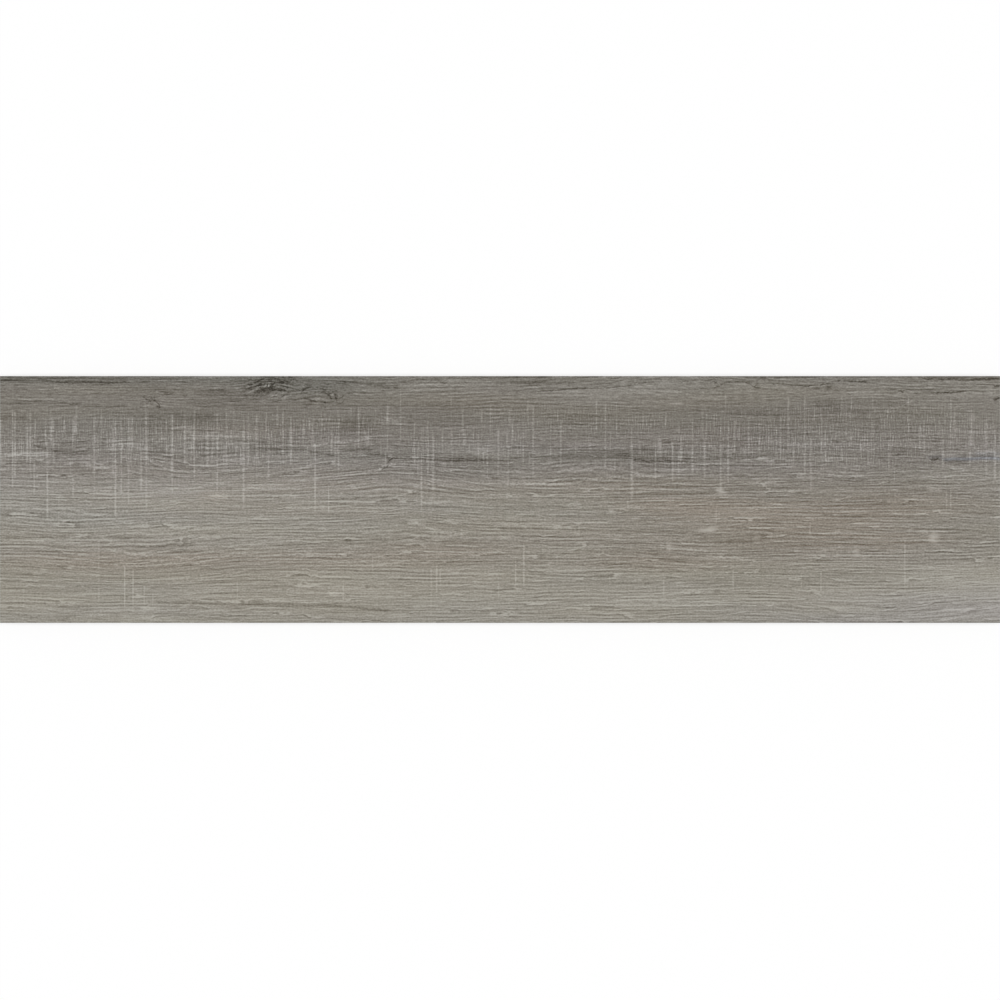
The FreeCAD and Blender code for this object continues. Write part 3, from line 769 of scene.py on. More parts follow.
# Pale streaks: half width, levels at the middle, then points (from left, down)
PALE_STREAKS = (
    # Pale ribbons in the woven part
    (0.8, 14, (27.5, 36.4), (34.5, 39.8)),
    (1.2, 9, (66.5, 43.3), (79, 45.4)),
    (0.9, 13, (107, 30.8), (112, 33.4), (117.5, 35.6), (136, 36), (156, 35)),
    # Sawn band, left
    (1.2, 12, (0, 39.6), (12, 39.4), (22, 39)),
    (1.3, 27, (0, 47.6), (14, 47.2), (30, 46.6)),
    (0.8, 16, (26, 34.6), (32, 38), (44, 38.6), (58, 39)),
    (0.8, 14, (18, 49.4), (30, 51.6), (56, 52.4), (68, 51)),
    (1.6, 10, (66, 38), (78, 41), (90, 45)),
    (0.7, 20, (88, 48.6), (92, 51.8), (99, 54.8), (106, 56.8)),
    (0.6, 20, (104, 56.6), (122, 57), (136, 56.6), (150, 55.8)),
    (0.7, 12, (0, 62.6), (18, 62.2)),
    (0.7, 11, (30, 63.4), (54, 63.9)),
    (0.7, 11, (3, 65.8), (29, 65.5)),
    (0.7, 18, (96, 68.4), (113, 67.8), (129, 64.4), (140, 63.4)),
    (0.8, 12, (52, 68), (60, 69.8), (68, 72.4)),
    (0.6, 10, (0, 72.6), (20, 72.2)),
    (1.5, 10, (104, 36.4), (126, 36.2), (152, 35.8)),
    (1.5, 12, (130, 40.4), (142, 40.8), (152, 40.4)),
    (0.7, 10, (28, 25.2), (44, 24.6), (58, 24.8)),
    (1.0, 9, (102, 31), (112, 32.4), (118, 35)),
    # Sawn band, middle
    (0.7, 14, (152, 53.4), (163, 51), (172, 49.6)),
    (1.0, 15, (171, 47.4), (178, 46.8), (184, 47.4)),
    (0.7, 20, (184, 43.2), (193, 40.8), (200, 39.6), (216, 38.8), (224, 36.4)),
    (0.5, 22, (203, 47.7), (212, 47.4), (221, 47.6)),
    (0.6, 13, (190, 52.2), (201, 51)),
    (0.7, 13, (154, 59.4), (172, 57.6), (189, 53.2)),
    (0.7, 17, (184, 61.4), (204, 60), (222, 57.8), (230, 56.2)),
    (0.5, 46, (225.4, 56.8), (229, 55.4), (232, 54.4)),
    (0.5, 50, (231.4, 54.4), (234.4, 53), (238, 52.6)),
    (0.5, 26, (237, 52.7), (244, 52.8), (251, 53.4)),
    (0.7, 16, (150, 66.4), (164, 65.8), (178, 63.4), (191, 62.4)),
    (1.1, 22, (231, 25.2), (235, 26.4), (240, 28.6)),
    (0.7, 11, (254, 62.8), (270, 62.2)),
    (0.7, 17, (247, 65.2), (262, 65), (276, 64.4), (300, 64.6)),
    (0.7, 14, (236, 72.2), (244, 70.8), (252, 68.6)),
    (1.4, 12, (284, 44.6), (292, 45.2), (302, 46)),
    (1.0, 8, (264, 32.8), (284, 32.8)),
    (1.2, 7, (207, 5), (215, 5.4), (223, 6.4)),
    (1.2, 7, (244, 7.2), (256, 5), (266, 5.6)),
    # Upper strip
    (0.4, 14, (28, 8), (34, 7.4), (41, 6.9)),
    (0.4, 13, (8, 13.5), (20, 14), (39, 14.5)),
    (0.4, 12, (33, 2.9), (41, 2.4)),
    (0.4, 20, (160.6, 13.6), (163.4, 11.9), (165.6, 11), (167.8, 10.5)),
    (0.45, 18, (157.2, 9.8), (158.0, 9)),
    (0.5, 14, (161.2, 13.2), (163.0, 12.3)),
    (0.45, 14, (147.8, 6.6), (151.2, 6), (153.2, 5.1)),
    (0.5, 16, (174.0, 4.2), (174.8, 4)),
    (0.5, 14, (164.2, 7.3), (165.0, 7.1)),
    (0.4, 16, (83.2, 19.6), (85.8, 19.8), (87.2, 19.4)),
    (0.4, 15, (149, 14.5), (159, 14.5), (171, 13.5)),
    (0.4, 13, (205, 3.9), (210.4, 4.6)),
    (0.4, 16, (198.0, 10.6), (200.4, 12.8), (199.8, 14.4)),
    (0.5, 15, (508, 9.8), (524, 10.9), (541, 11.8)),
    (0.7, 13, (556, 3.6), (572, 3.2), (590, 3.8)),
    (0.6, 14, (593, 9.6), (597, 10.4)),
    (0.6, 14, (404.6, 16.4), (408.4, 16)),
    # Sawn band, right half
    (0.7, 13, (300, 33.2), (314, 33.8), (326, 33.4), (340, 33.2)),
    (1.0, 17, (300, 45.8), (314, 46.4), (334, 47)),
    (0.6, 14, (300, 57.6), (313, 57.4)),
    (0.9, 20, (300, 64.2), (318, 64.8), (336, 65.3), (344, 63.6), (358, 61.6), (369, 60.8), (378, 61.8)),
    (0.8, 16, (332, 59.2), (340, 55.6), (354, 55.4), (365, 53.8), (374, 54.9)),
    (0.9, 15, (336, 45.6), (343, 43.8), (348, 41), (354, 40.4), (362, 42.4), (380, 43.2)),
    (1.0, 12, (380, 41.6), (386, 38.8), (392, 36), (405, 36.2), (416, 36.8)),
    (0.6, 20, (399, 52.3), (412, 52.2), (422, 52.6), (440, 52)),
    (0.7, 17, (380, 60.4), (392, 60), (400, 60.2)),
    (0.7, 11, (402, 58.8), (420, 58.4)),
    (0.7, 18, (300, 71.2), (308, 71.4), (317, 71.8)),
    (0.9, 13, (340, 72.4), (352, 71.4), (362, 70.8)),
    (0.7, 13, (382, 68.4), (402, 68.2), (424, 68.6)),
    (0.5, 14, (434, 61), (437, 58.6), (440, 60.8)),
    (0.7, 13, (441, 56.6), (446, 58), (452, 60)),
    (0.8, 12, (338, 30.6), (348, 30.2), (358, 28), (364, 27.6)),
    (1.0, 11, (354, 12.8), (368, 12.6)),
    (1.0, 11, (402, 15.8), (410, 16.2)),
    (1.1, 9, (414, 12.6), (436, 12.8)),
    (0.6, 12, (385, 24.3), (394, 23.6), (404, 23.2)),
    (1.6, 8, (388, 36.6), (402, 37), (420, 36.4)),
    (0.9, 14, (319, 26.2), (325, 27)),
    (0.8, 14, (503, 34.2), (511, 33.8)),
    (1.0, 13, (448, 39), (468, 39.6), (482, 41.4), (500, 41), (520, 41)),
    (0.6, 22, (531, 20.6), (539, 18.8), (546, 15)),
    (0.6, 18, (463, 54), (476, 53.9)),
    (0.6, 13, (457, 58.8), (465, 61.4), (470, 59.6)),
    (0.7, 15, (486, 57.6), (498, 58.8), (509, 61.2), (523, 57.8), (536, 57.2), (546, 58.6)),
    (0.7, 16, (486, 62.4), (494, 63.4), (502, 64.6)),
    (0.5, 30, (455.6, 63.2), (458.6, 65.6), (462.6, 68.9)),
    (0.7, 10, (555, 60.4), (578, 60.8), (600, 60.4)),
    (1.4, 9, (516, 38.6), (540, 40.2), (560, 41.8)),
    (1.2, 12, (556, 46.4), (576, 46.8), (600, 47.4)),
    # Open grain, left
    (0.7, 16, (0, 77.4), (11, 77.6), (25, 79.8), (42, 80), (57, 82.8), (68, 85.4)),
    (0.7, 16, (66, 85), (76, 87.8), (92, 89.6)),
    (0.6, 16, (5, 84.4), (23, 84.8)),
    (0.7, 14, (0, 95.2), (10, 94), (19, 92.2), (33, 91.8)),
    (0.7, 14, (0, 99.7), (12, 99.4), (29, 97.6)),
    (0.6, 18, (60, 96), (67, 99.4), (82, 100.6), (94, 101)),
    (0.6, 12, (42, 98.8), (49, 100.6)),
    (0.7, 16, (70, 94.4), (84, 94.8), (103, 94.2), (115, 92.4), (134, 90.4)),
    (0.6, 21, (47, 108.8), (59, 112.4), (71, 114), (86, 113.7), (103, 112.8)),
    (0.6, 19, (102, 112.8), (120, 112.2), (132, 109.6), (141, 105.8), (150, 105)),
    (0.7, 17, (64, 105), (73, 105.8), (88, 107.4), (102, 104.6)),
    (0.7, 12, (30, 118.2), (45, 118.2), (67, 119.9)),
    (0.8, 14, (100, 121.6), (124, 121.8), (136, 118.8), (150, 116.2)),
    (0.9, 15, (0, 134.4), (13, 134.6), (32, 136.4), (48, 135.9)),
    (0.6, 18, (53, 143.2), (64, 143.3)),
    (0.6, 12, (24, 142.6), (33, 142.7)),
    (0.7, 15, (95, 140.6), (118, 140.5), (138, 140.8)),
    (1.0, 9, (75, 146), (106, 146)),
    (0.7, 10, (108, 129.2), (128, 128.2), (142, 127.2)),
    (0.7, 14, (116, 96.8), (134, 96.5)),
    (0.7, 14, (103, 103.7), (128, 103.5)),
    (0.9, 12, (68, 124.2), (80, 124.6)),
    (1.3, 8, (0, 130), (30, 131.4), (64, 131)),
    # Open grain, middle
    (0.7, 15, (228, 91), (238, 89.4), (252, 88.4)),
    (0.8, 23, (243, 88.6), (252, 88.5), (256, 90.4), (262, 93.4)),
    (0.8, 21, (262, 93.6), (270, 94.8), (279, 94.8)),
    (0.7, 13, (245, 95.4), (264, 94.3)),
    (0.7, 14, (275, 86.8), (284, 86), (291, 86.4)),
    (0.7, 14, (208, 91.2), (215, 92.6), (222, 94)),
    (0.7, 16, (168, 99.6), (180, 97.8), (191, 96.2), (203, 94.8)),
    (0.6, 15, (202, 104.6), (209, 102), (212, 105), (218, 104.8)),
    (0.7, 14, (175, 109.2), (187, 107.7), (203, 107.2), (212, 105.2)),
    (0.7, 16, (165, 110.6), (175, 110)),
    (0.7, 18, (224, 113.2), (235, 112.4), (244, 110.2), (250, 110)),
    (0.5, 20, (252, 108.3), (268, 108.1), (284, 108.4)),
    (0.6, 14, (235, 100.6), (240, 98.2), (242, 99.8)),
    (0.7, 16, (229, 79.2), (246, 78.6), (256, 76.2), (272, 75)),
    (0.9, 16, (221.4, 81.2), (226.0, 80.2)),
    (0.8, 16, (151, 85.4), (159, 83.8)),
    (0.8, 14, (173, 78.6), (188, 78.8), (204, 78.2)),
    (0.8, 14, (150, 101.4), (166, 103)),
    (0.9, 12, (178, 121.4), (193, 121.4)),
    (2.4, 8, (262, 118), (282, 118.4), (300, 119)),
    (0.6, 17, (235, 142.7), (244, 142.8)),
    (0.7, 17, (233, 144.6), (244, 144.4)),
    (0.6, 14, (215, 143.6), (224, 143.5)),
    (0.7, 11, (192, 92.2), (208, 91.8)),
    (0.7, 11, (150, 134.8), (172, 135), (192, 136)),
    # Open grain, right half
    (0.9, 16, (377.4, 78.4), (381, 77.6), (385.6, 77.9)),
    (0.5, 18, (534, 80.4), (536.6, 81.6), (539, 83)),
    (0.9, 12, (300, 88), (314, 89), (330, 88.4)),
    (0.9, 14, (306, 84.8), (318, 81.6), (328, 79.6), (334, 80)),
    (0.9, 12, (341, 78.6), (360, 77.6), (372, 78.4), (386, 77.8)),
    (0.8, 16, (344, 87), (366, 87.8)),
    (0.8, 16, (360, 94.6), (374, 95.8)),
    (0.7, 12, (339, 95.2), (353, 94.2)),
    (1.3, 14, (299, 96.4), (307, 96.8)),
    (0.6, 14, (300, 108.2), (311, 107.9)),
    (0.7, 16, (435, 96.4), (442, 94.2)),
    (0.7, 18, (402, 103.2), (416, 104.4), (428, 105.4), (438, 108.8), (452, 111.2)),
    (0.7, 12, (424, 107.6), (442, 110.2)),
    (0.7, 18, (432, 86), (452, 87.2)),
    (0.5, 19, (353, 137.4), (368, 137.2), (395, 137.6), (416, 137.4), (437, 136.8)),
    (0.7, 16, (369, 134.6), (388, 134.2), (406, 134.6)),
    (0.7, 14, (313, 135.4), (334, 135.2)),
    (1.6, 8, (314, 118.4), (334, 117.4), (350, 116.8)),
    (0.8, 12, (385, 73.4), (402, 73.8)),
    (0.7, 16, (534, 83.2), (556, 82.6), (574, 82.2), (585, 85.2)),
    (0.8, 12, (542, 73.6), (556, 74.6), (568, 75.2)),
    (0.6, 16, (541, 105.4), (551, 105.2)),
    (0.6, 15, (543.6, 91.4), (545.4, 93), (547.4, 92.2)),
    (0.8, 12, (519, 96.8), (529, 97.2)),
    (0.8, 14, (516, 108), (530, 107.6)),
    (0.7, 12, (480, 119.8), (492, 118.6)),
    (0.6, 18, (519, 138.8), (525, 137.9), (540, 137.8)),
    (0.8, 18, (516, 145.4), (527, 145)),
    (0.7, 16, (540, 143.2), (554, 143)),
    (0.6, 16, (449, 137.9), (460, 137.8), (469, 136.9)),
    (0.6, 13, (455, 135.2), (466, 135.4)),
    (0.8, 14, (567, 139.4), (577, 140.4)),
    (0.9, 11, (560, 147), (578, 145.4), (588, 144), (600, 143.2)),
    (0.7, 14, (581, 110), (590, 109.6)),
    (0.8, 12, (449, 79.2), (461, 79), (470, 77.4)),
    (0.8, 12, (478, 86.2), (497, 85.6)),
    (1.6, 8, (566, 122), (584, 123), (600, 122)),
)

# Small filled spots with firm edges: from left, down, reach along, reach down, levels
FILLED_SPOTS = (
    (431.8, 68.3, 2.6, 1.9, 32),
    (433.8, 70.8, 3.0, 1.2, 16),
    (423.0, 92.4, 4.6, 1.0, 32),
    (427.4, 91.6, 3.2, 1.5, 24),
    (401.4, 101.6, 1.8, 1.3, 28),
    (401.8, 104.2, 1.4, 1.3, 24),
    (513.4, 102.4, 1.6, 0.9, 26),
    (513.8, 105.0, 2.0, 1.0, 30),
    (513.8, 107.6, 2.4, 0.9, 27),
    (560.2, 95.8, 3.8, 1.3, 34),
    (560.0, 98.6, 2.4, 1.8, 28),
    (582.8, 25.4, 2.6, 1.9, 20),
    (582.5, 39.5, 2.8, 3.2, 6),
    (544.8, 42.9, 0.8, 0.8, 26),
    (559.6, 49.2, 3.4, 1.3, -20),
    (589.9, 48.0, 0.8, 0.5, -24),
    (286.3, 46.5, 2.0, 0.7, 22),
    (287.2, 43.8, 2.1, 0.8, 14),
    (439.6, 121.6, 1.5, 1.5, 9),
    (159.6, 5.5, 0.5, 0.9, 50),
    (161.2, 5.7, 0.5, 1.0, 80),
    (195.6, 128.0, 1.6, 1.6, -5),
)

# Broad patches of the print: from left, down, reach along, reach down, levels
TONE_PATCHES = (
    (40, 2, 40, 3, -2.5),
    (148, 4, 24, 5, -7),
    (150, 11, 28, 5, -11),
    (520, 3, 40, 3, 3),
    (580, 3, 30, 3, -2.5),
    (90, 50, 120, 8, 2),
    (110, 33, 110, 8, 1.5),
    (590, 46, 30, 6, 2),
    (390, 18, 40, 5, 2),
    (510, 18, 50, 5, 2),
    (585, 10, 20, 5, 2.5),
    (585, 36, 24, 12, 3),
    (585, 54, 24, 6, 2.5),
    (510, 84, 30, 8, 2.5),
    (325, 130, 50, 6, 2),
    (510, 132, 40, 6, 2),
    (385, 3, 60, 3, -3.5),
    (390, 10, 30, 4, 4),
    (150, 33, 30, 9, -3),
    (105, 47, 50, 5, -4),
    (90, 56, 40, 6, -3),
    (215, 56, 40, 6, -3.5),
    (300, 58, 60, 6, -1.5),
    (380, 74, 40, 8, -2),
    (540, 78, 50, 8, -2.5),
    (450, 80, 40, 6, 1.5),
    (400, 125, 50, 8, -3),
    (90, 10, 26, 4, -5),
    (20, 2, 30, 3, -3.5),
    (330, 2, 30, 3, -3),
    (440, 2, 34, 4, -2),
    (235, 3, 30, 4, -3),
    (270, 9, 30, 4, 4.5),
    (350, 10, 40, 4, 3),
    (140, 21, 110, 7, -5),
    (470, 21, 70, 7, -2.5),
    (150, 34, 26, 8, -4.5),
    (450, 34, 30, 8, -3.5),
    (40, 33, 40, 8, -2),
    (150, 46, 24, 5, -2.5),
    (208, 46, 22, 5, 3.5),
    (60, 57, 60, 4, -2),
    (330, 57, 50, 5, -4),
    (110, 72, 100, 10, 5),
    (210, 70, 30, 8, 2),
    (150, 90, 50, 12, 4),
    (400, 66, 40, 7, -3),
    (380, 96, 40, 8, -2.5),
    (510, 99, 30, 8, -2.5),
    (570, 86, 30, 9, -2),
    (480, 132, 120, 8, 2.5),
    (30, 3, 44, 5, -8),
    (100, 3, 40, 5, -6),
    (158, 6.5, 10, 5, -25),
    (169, 3.5, 9, 4, -22),
    (192, 7, 26, 8, -10),
    (262, 2.5, 26, 4, 6),
    (330, 9, 30, 5, 6),
    (390, 5, 36, 8, 9),
    (455, 6, 34, 7, 9),
    (512, 9, 36, 5, 8),
    (575, 9.5, 30, 5, 7),
    (162, 14, 16, 3, 4),
    (95, 30, 14, 8, -6),
    (122, 26, 7, 6, -6),
    (214, 30, 14, 8, -8),
    (262, 27, 26, 10, -5),
    (276, 18, 20, 5, -4),
    (350, 27, 30, 6, -5),
    (420, 20, 22, 6, -2),
    (500, 18, 12, 7, -3),
    (18, 46, 24, 4, 5),
    (82, 44, 22, 12, 4),
    (140, 40, 20, 7, 5),
    (150, 49, 30, 5, 3),
    (290, 42, 28, 5, 4),
    (390, 48, 20, 4, -5),
    (356, 48, 34, 3, -7),
    (28, 44, 14, 2.4, -7),
    (100, 69, 120, 8, 5),
    (540, 78, 110, 16, -6.5),
    (90, 98, 130, 9, 4.5),
    (86, 114, 80, 7, -7),
    (180, 108, 34, 6, -3),
    (270, 106, 44, 9, -4),
    (392, 109, 30, 6, -5),
    (430, 98, 44, 5, -4),
    (478, 98, 44, 11, -4),
    (590, 100, 40, 9, -5),
    (30, 128, 60, 8, -4),
    (240, 130, 50, 7, 3.5),
    (400, 131, 60, 6, 2),
    (580, 126, 44, 10, 7),
    (400, 145, 40, 4, -3),
    (110, 138, 40, 3, -3),
    (200, 139, 40, 3, -4),
)

# Pinkish brown patches, below zero greenish: from left, down, reach along, reach down, share
WARMTH_PATCHES = (
    (60, 1, 150, 5, -0.85),
    (180, 5, 40, 8, -0.8),
    (220, 46, 200, 7, -0.35),
    (330, 2, 150, 5, -0.35),
    (560, 2, 60, 5, -0.35),
    (128, 72, 10, 3, 0.5),
    (200, 67, 60, 6, 0.3),
    (360, 66, 60, 6, 0.45),
    (410, 77, 40, 7, 0.9),
    (480, 84, 60, 11, 0.9),
    (540, 76, 50, 10, 0.5),
    (60, 111, 80, 7, 0.8),
    (126, 109, 26, 5, 0.4),
    (190, 110, 50, 7, 0.6),
    (270, 106, 50, 10, 0.7),
    (390, 110, 40, 7, 0.6),
    (450, 99, 80, 9, 0.6),
    (540, 100, 40, 8, 0.5),
    (40, 84, 60, 8, -0.6),
    (60, 34, 60, 12, -0.4),
)

# Bluish slate streaks: half width, share at the middle, then points (from left, down)
SLATE_STREAKS = (
    (1.1, 1.0, (566, 49.9), (576, 49.5), (588, 49.3), (606, 49.4)),
    (0.7, 0.4, (584, 46.2), (596, 46), (606, 46.4)),
    (1.2, 0.3, (556, 48.8), (562, 48.4), (567, 48.6)),
)

# Woven look where saw marks cross the grain: from left, down, reach along, reach down, share
WOVEN_PATCHES = (
    (8, 42, 18, 16, 1.0),
    (45, 34, 26, 12, 0.8),
    (74, 44, 14, 24, 1.3),
    (96, 36, 18, 12, 0.7),
    (120, 38, 20, 12, 1.0),
    (146, 40, 22, 14, 1.1),
    (176, 36, 24, 14, 0.9),
    (197, 30, 9, 7, 1.0),
    (222, 30, 12, 10, 0.9),
    (254, 46, 9, 12, 1.3),
    (283, 38, 10, 5, 1.2),
    (310, 40, 7, 6, 1.2),
    (300, 26, 24, 8, 0.5),
    (330, 24, 24, 8, 0.5),
    (362, 26, 26, 12, 0.6),
    (390, 28, 12, 5, 1.1),
    (400, 44, 20, 8, 0.9),
    (432, 34, 22, 14, 0.9),
    (470, 34, 26, 18, 1.0),
    (508, 32, 30, 24, 1.2),
    (544, 32, 26, 20, 1.0),
    (574, 32, 24, 14, 0.7),
    (592, 44, 14, 12, 0.7),
)

# How the grain bends: from left, down, reach along, reach down, rise of the lines there in millimetres
GRAIN_BENDS = (
    (78, 112, 46, 14, -5.0),
    (120, 54, 30, 10, -4.0),
    (400, 2, 60, 8, 4.0),
    (352, 52, 34, 9, 3.5),
    (240, 58, 44, 12, 5.5),
    (516, 60, 24, 7, -2.0),
    (590, 136, 46, 16, 3.5),
    (46, 88, 46, 12, -2.5),
    (440, 106, 40, 12, -3.0),
    (250, 90, 26, 8, 3.0),
)

# Knots, which close the grain into rings: from left, down, reach along, reach down, height
KNOTS = (
    (163.0, 5.6, 13.0, 4.6, 3.0),
    (190.5, 10.8, 11.0, 4.2, 2.6),
    (199.6, 9.6, 4.0, 2.8, 1.4),
    (92.5, 15.6, 6.0, 3.2, 1.4),
    (429.3, 3.9, 2.6, 1.6, 2.2),
    (497.4, 6.8, 3.0, 1.6, 2.0),
    (541.0, 9.2, 3.0, 1.4, 2.0),
    (457.8, 1.2, 3.0, 2.0, 2.2),
    (233.5, 52.4, 5.0, 2.6, 0.8),
)


def ease(t):
    """Cubic ease from 0 to 1: 3 t squared less 2 t cubed, with t held between 0 and 1."""
    t = np.clip(t, 0.0, 1.0)
    return t * t * (3.0 - 2.0 * t)


def drift(along, down, cell_along, cell_down, seed):
    """Smooth random field from -1 to 1.

    A lattice of random heights, one every cell, joined along and down by cubic ease curves.
    """
    rng = np.random.default_rng(seed)
    a = along / cell_along
    d = down / cell_down
    a = a - a.min() + 1.0
    d = d - d.min() + 1.0
    lattice = rng.uniform(-1.0, 1.0, (int(a.max()) + 3, int(d.max()) + 3))
    i = a.astype(int)
    j = d.astype(int)
    s = ease(a - i)
    t = ease(d - j)
    near = lattice[i, j] * (1 - s) + lattice[i + 1, j] * s
    far = lattice[i, j + 1] * (1 - s) + lattice[i + 1, j + 1] * s
    return near * (1 - t) + far * t


def swing(along, down, height, *cells_and_seed):
    """The smooth random field times a height."""
    return height * drift(along, down, *cells_and_seed)


def mounds(along, down, patches, firm=1.0):
    """Sum of Gaussian mounds: height times e to the minus (offset over reach) squared, both ways.

    With firm over 1 that square is raised to it, which gives a flat top and a steeper edge.
    """
    total = np.zeros_like(along)
    for left, at, reach_along, reach_down, height in patches:
        far = ((along - left) / reach_along) ** 2 + ((down - at) / reach_down) ** 2
        total += height * np.exp(-(far**firm))
    return total


def within_ends(at, start, end, start_fade, end_fade):
    """1 between the two ends and 0 outside, with a cubic ease over each end, half of it outside."""
    return ease((at - start) / start_fade + 0.5) * ease((end - at) / end_fade + 0.5)


def strongest_of(marks, like, window):
    """Of many marks, each an offset and a strength, those of the strongest one at each point."""
    nearest = np.full_like(like, window)
    strongest = np.zeros_like(like)
    for offset, strength in marks:
        stronger = strength > strongest
        nearest = np.where(stronger, offset, nearest)
        strongest = np.where(stronger, strength, strongest)
    return nearest, strongest


def streak_offsets(along, down, streaks):
    """For each streak in turn: distance across from its middle in half widths, and its strength there.

    A streak's middle is interpolated between its points, and wanders a little. The distance down
    from it is divided by the root of 1 plus its slope squared. Its strength eases to nothing over
    its ends.
    """
    for number, (half_width, strength, *points) in enumerate(streaks):
        left, at = np.array(points, float).T
        wander = drift(along, down, WANDER_CELL, SLOW_DOWN, WANDER_SEED + number)
        wander = STREAK_WANDER * min(half_width, 1.0) * wander
        rise = np.interp(along + SLOPE_REACH, left, at) - np.interp(along - SLOPE_REACH, left, at)
        slope = rise / (2 * SLOPE_REACH)
        offset = (down - np.interp(along, left, at) - wander) / (half_width * np.hypot(1.0, slope))
        end = min(LONGEST_END, END_SHARE * (left[-1] - left[0]) + END_MORE)
        yield offset, strength * within_ends(along, left[0], left[-1], end, end)


def soft_streaks(along, down, streaks):
    """Broad streaks, each with a Gaussian profile. The strongest one counts at each point."""
    strongest = np.zeros_like(along)
    for offset, strength in streak_offsets(along, down, streaks):
        strongest = np.maximum(strongest, strength * np.exp(-(offset**2)))
    return strongest


def thin_streaks(along, down, streaks):
    """Thin streaks, as two fields: signed distance from the middle in half widths, and strength.

    The distance changes evenly from row to row, so that the material can draw the streak's profile
    finer than the rows are. The strength is times 1 less the square of (distance over window).
    """
    windowed = (
        (offset, strength * np.clip(1.0 - (offset / STREAK_WINDOW) ** 2, 0.0, 1.0))
        for offset, strength in streak_offsets(along, down, streaks)
    )
    return strongest_of(windowed, along, STREAK_WINDOW)


def saw_cuts(along, down):
    """Offset and strength of each saw mark, straight across the plank, with eased ends.

    Its levels are held back: limit times 1 less e to the minus (levels over softness). They fall
    evenly to nothing at SAW_WINDOW half widths from its middle.
    """
    for number, (left, start, end, half_width, levels) in enumerate(SAW_MARKS):
        ragged = 1.0 + SAW_RAGGED * drift(down, along, RAGGED_CELL, SLOW_ALONG, RAGGED_SEED + number)
        taper = within_ends(down, start, end, SAW_START, SAW_END)
        offset = np.abs(along - left) / half_width
        full = SAW_LIMIT * (1.0 - np.exp(-levels * ragged / SAW_SOFTNESS))
        yield offset, full * taper * np.clip(1.0 - offset / SAW_WINDOW, 0.0, 1.0)


def run_of_grain(along, down):
    """The ring coordinate: lines of the grain are where it stays the same.

    It is the distance down, plus long slow waves, plus bends, plus the mounds of the knots, whose
    sides are steep enough to close the lines into rings.
    """
    waves = sum(swing(along, down, *wave) for wave in GRAIN_WAVES)
    return down + waves + mounds(along, down, GRAIN_BENDS) + mounds(along, down, KNOTS)


def woven_share(along, down):
    """How woven the print looks: a least share plus mounds, within the sawn band of the plank."""
    woven = np.clip(WOVEN_LEAST + mounds(along, down, WOVEN_PATCHES), 0.0, WOVEN_MOST)
    woven *= ease((down - WOVEN_START) / WOVEN_START_FADE) * ease((WOVEN_END - down) / WOVEN_END_FADE)
    return woven


def by_width(streaks):
    """The streaks that are broad, and those that are thin."""
    soft = [streak for streak in streaks if streak[0] >= BROAD]
    return soft, [streak for streak in streaks if streak[0] < BROAD]


def print_fields(along, down):
    """Everything that the print of the face follows, as one array for each field.

    The tone is its curve down the plank, plus its curve along it, patches, swing, broad pale
    streaks and filled spots, less the broad dark streaks.
    """
    soft_dark, thin_dark = by_width(DARK_STREAKS)
    soft_pale, thin_pale = by_width(PALE_STREAKS)
    filled = mounds(along, down, FILLED_SPOTS, SPOT_FIRMNESS)
    tone = np.interp(down, TONE_DOWN, TONE_LEVEL) + np.interp(along, TONE_ALONG, TONE_SHIFT)
    tone = tone + mounds(along, down, TONE_PATCHES) + swing(along, down, *TONE_SWING)
    tone -= soft_streaks(along, down, soft_dark)
    tone += soft_streaks(along, down, soft_pale) + filled
    straw = np.interp(down, STRAW_DOWN, STRAW) + swing(along, down, *STRAW_SWING)
    contrast = np.interp(down, CONTRAST_DOWN, CONTRAST) + mounds(along, down, ROUGH_PATCHES)
    fields = {
        "along": along,
        "ring": run_of_grain(along, down),
        "woven": woven_share(along, down),
        "tone": tone,
        "warmth": mounds(along, down, WARMTH_PATCHES) + swing(along, down, *WARMTH_SWING),
        "straw": straw - mounds(along, down, BLUER_PATCHES),
        "contrast": contrast * (1.0 - SPOT_CALM * np.clip(filled / SPOT_CALM_LEVELS, 0.0, 1.0)),
    }
    marks = {
        "dark": thin_streaks(along, down, thin_dark),
        "pale": thin_streaks(along, down, thin_pale),
        "slate": thin_streaks(along, down, SLATE_STREAKS),
        "saw": strongest_of(saw_cuts(along, down), along, SAW_WINDOW),
    }
    for name, (offset, strength) in marks.items():
        fields[name] = strength
        fields[name + "_offset"] = offset
    return fields


def clear_lines(kept, wanted, gap):
    """The kept lines, and those wanted ones that are a gap away from them and from each other."""
    lines = list(kept)
    for line in wanted:
        if np.abs(np.array(lines) - line).min() > gap:
            lines.append(line)
    return np.array(lines)


def grid_lines(low, high, widest, fixed=()):
    """Grid lines from low to high: all the fixed ones, with even lines between those too far apart."""
    fixed = np.array(fixed, float)
    fixed = np.unique(np.concatenate(([low, high], fixed[(fixed > low) & (fixed < high)])))
    lines = [fixed[:1]]
    for start, end in zip(fixed[:-1], fixed[1:]):
        count = max(1, math.ceil((end - start) / widest))
        lines.append(np.linspace(start, end, count + 1)[1:])
    return np.concatenate(lines)


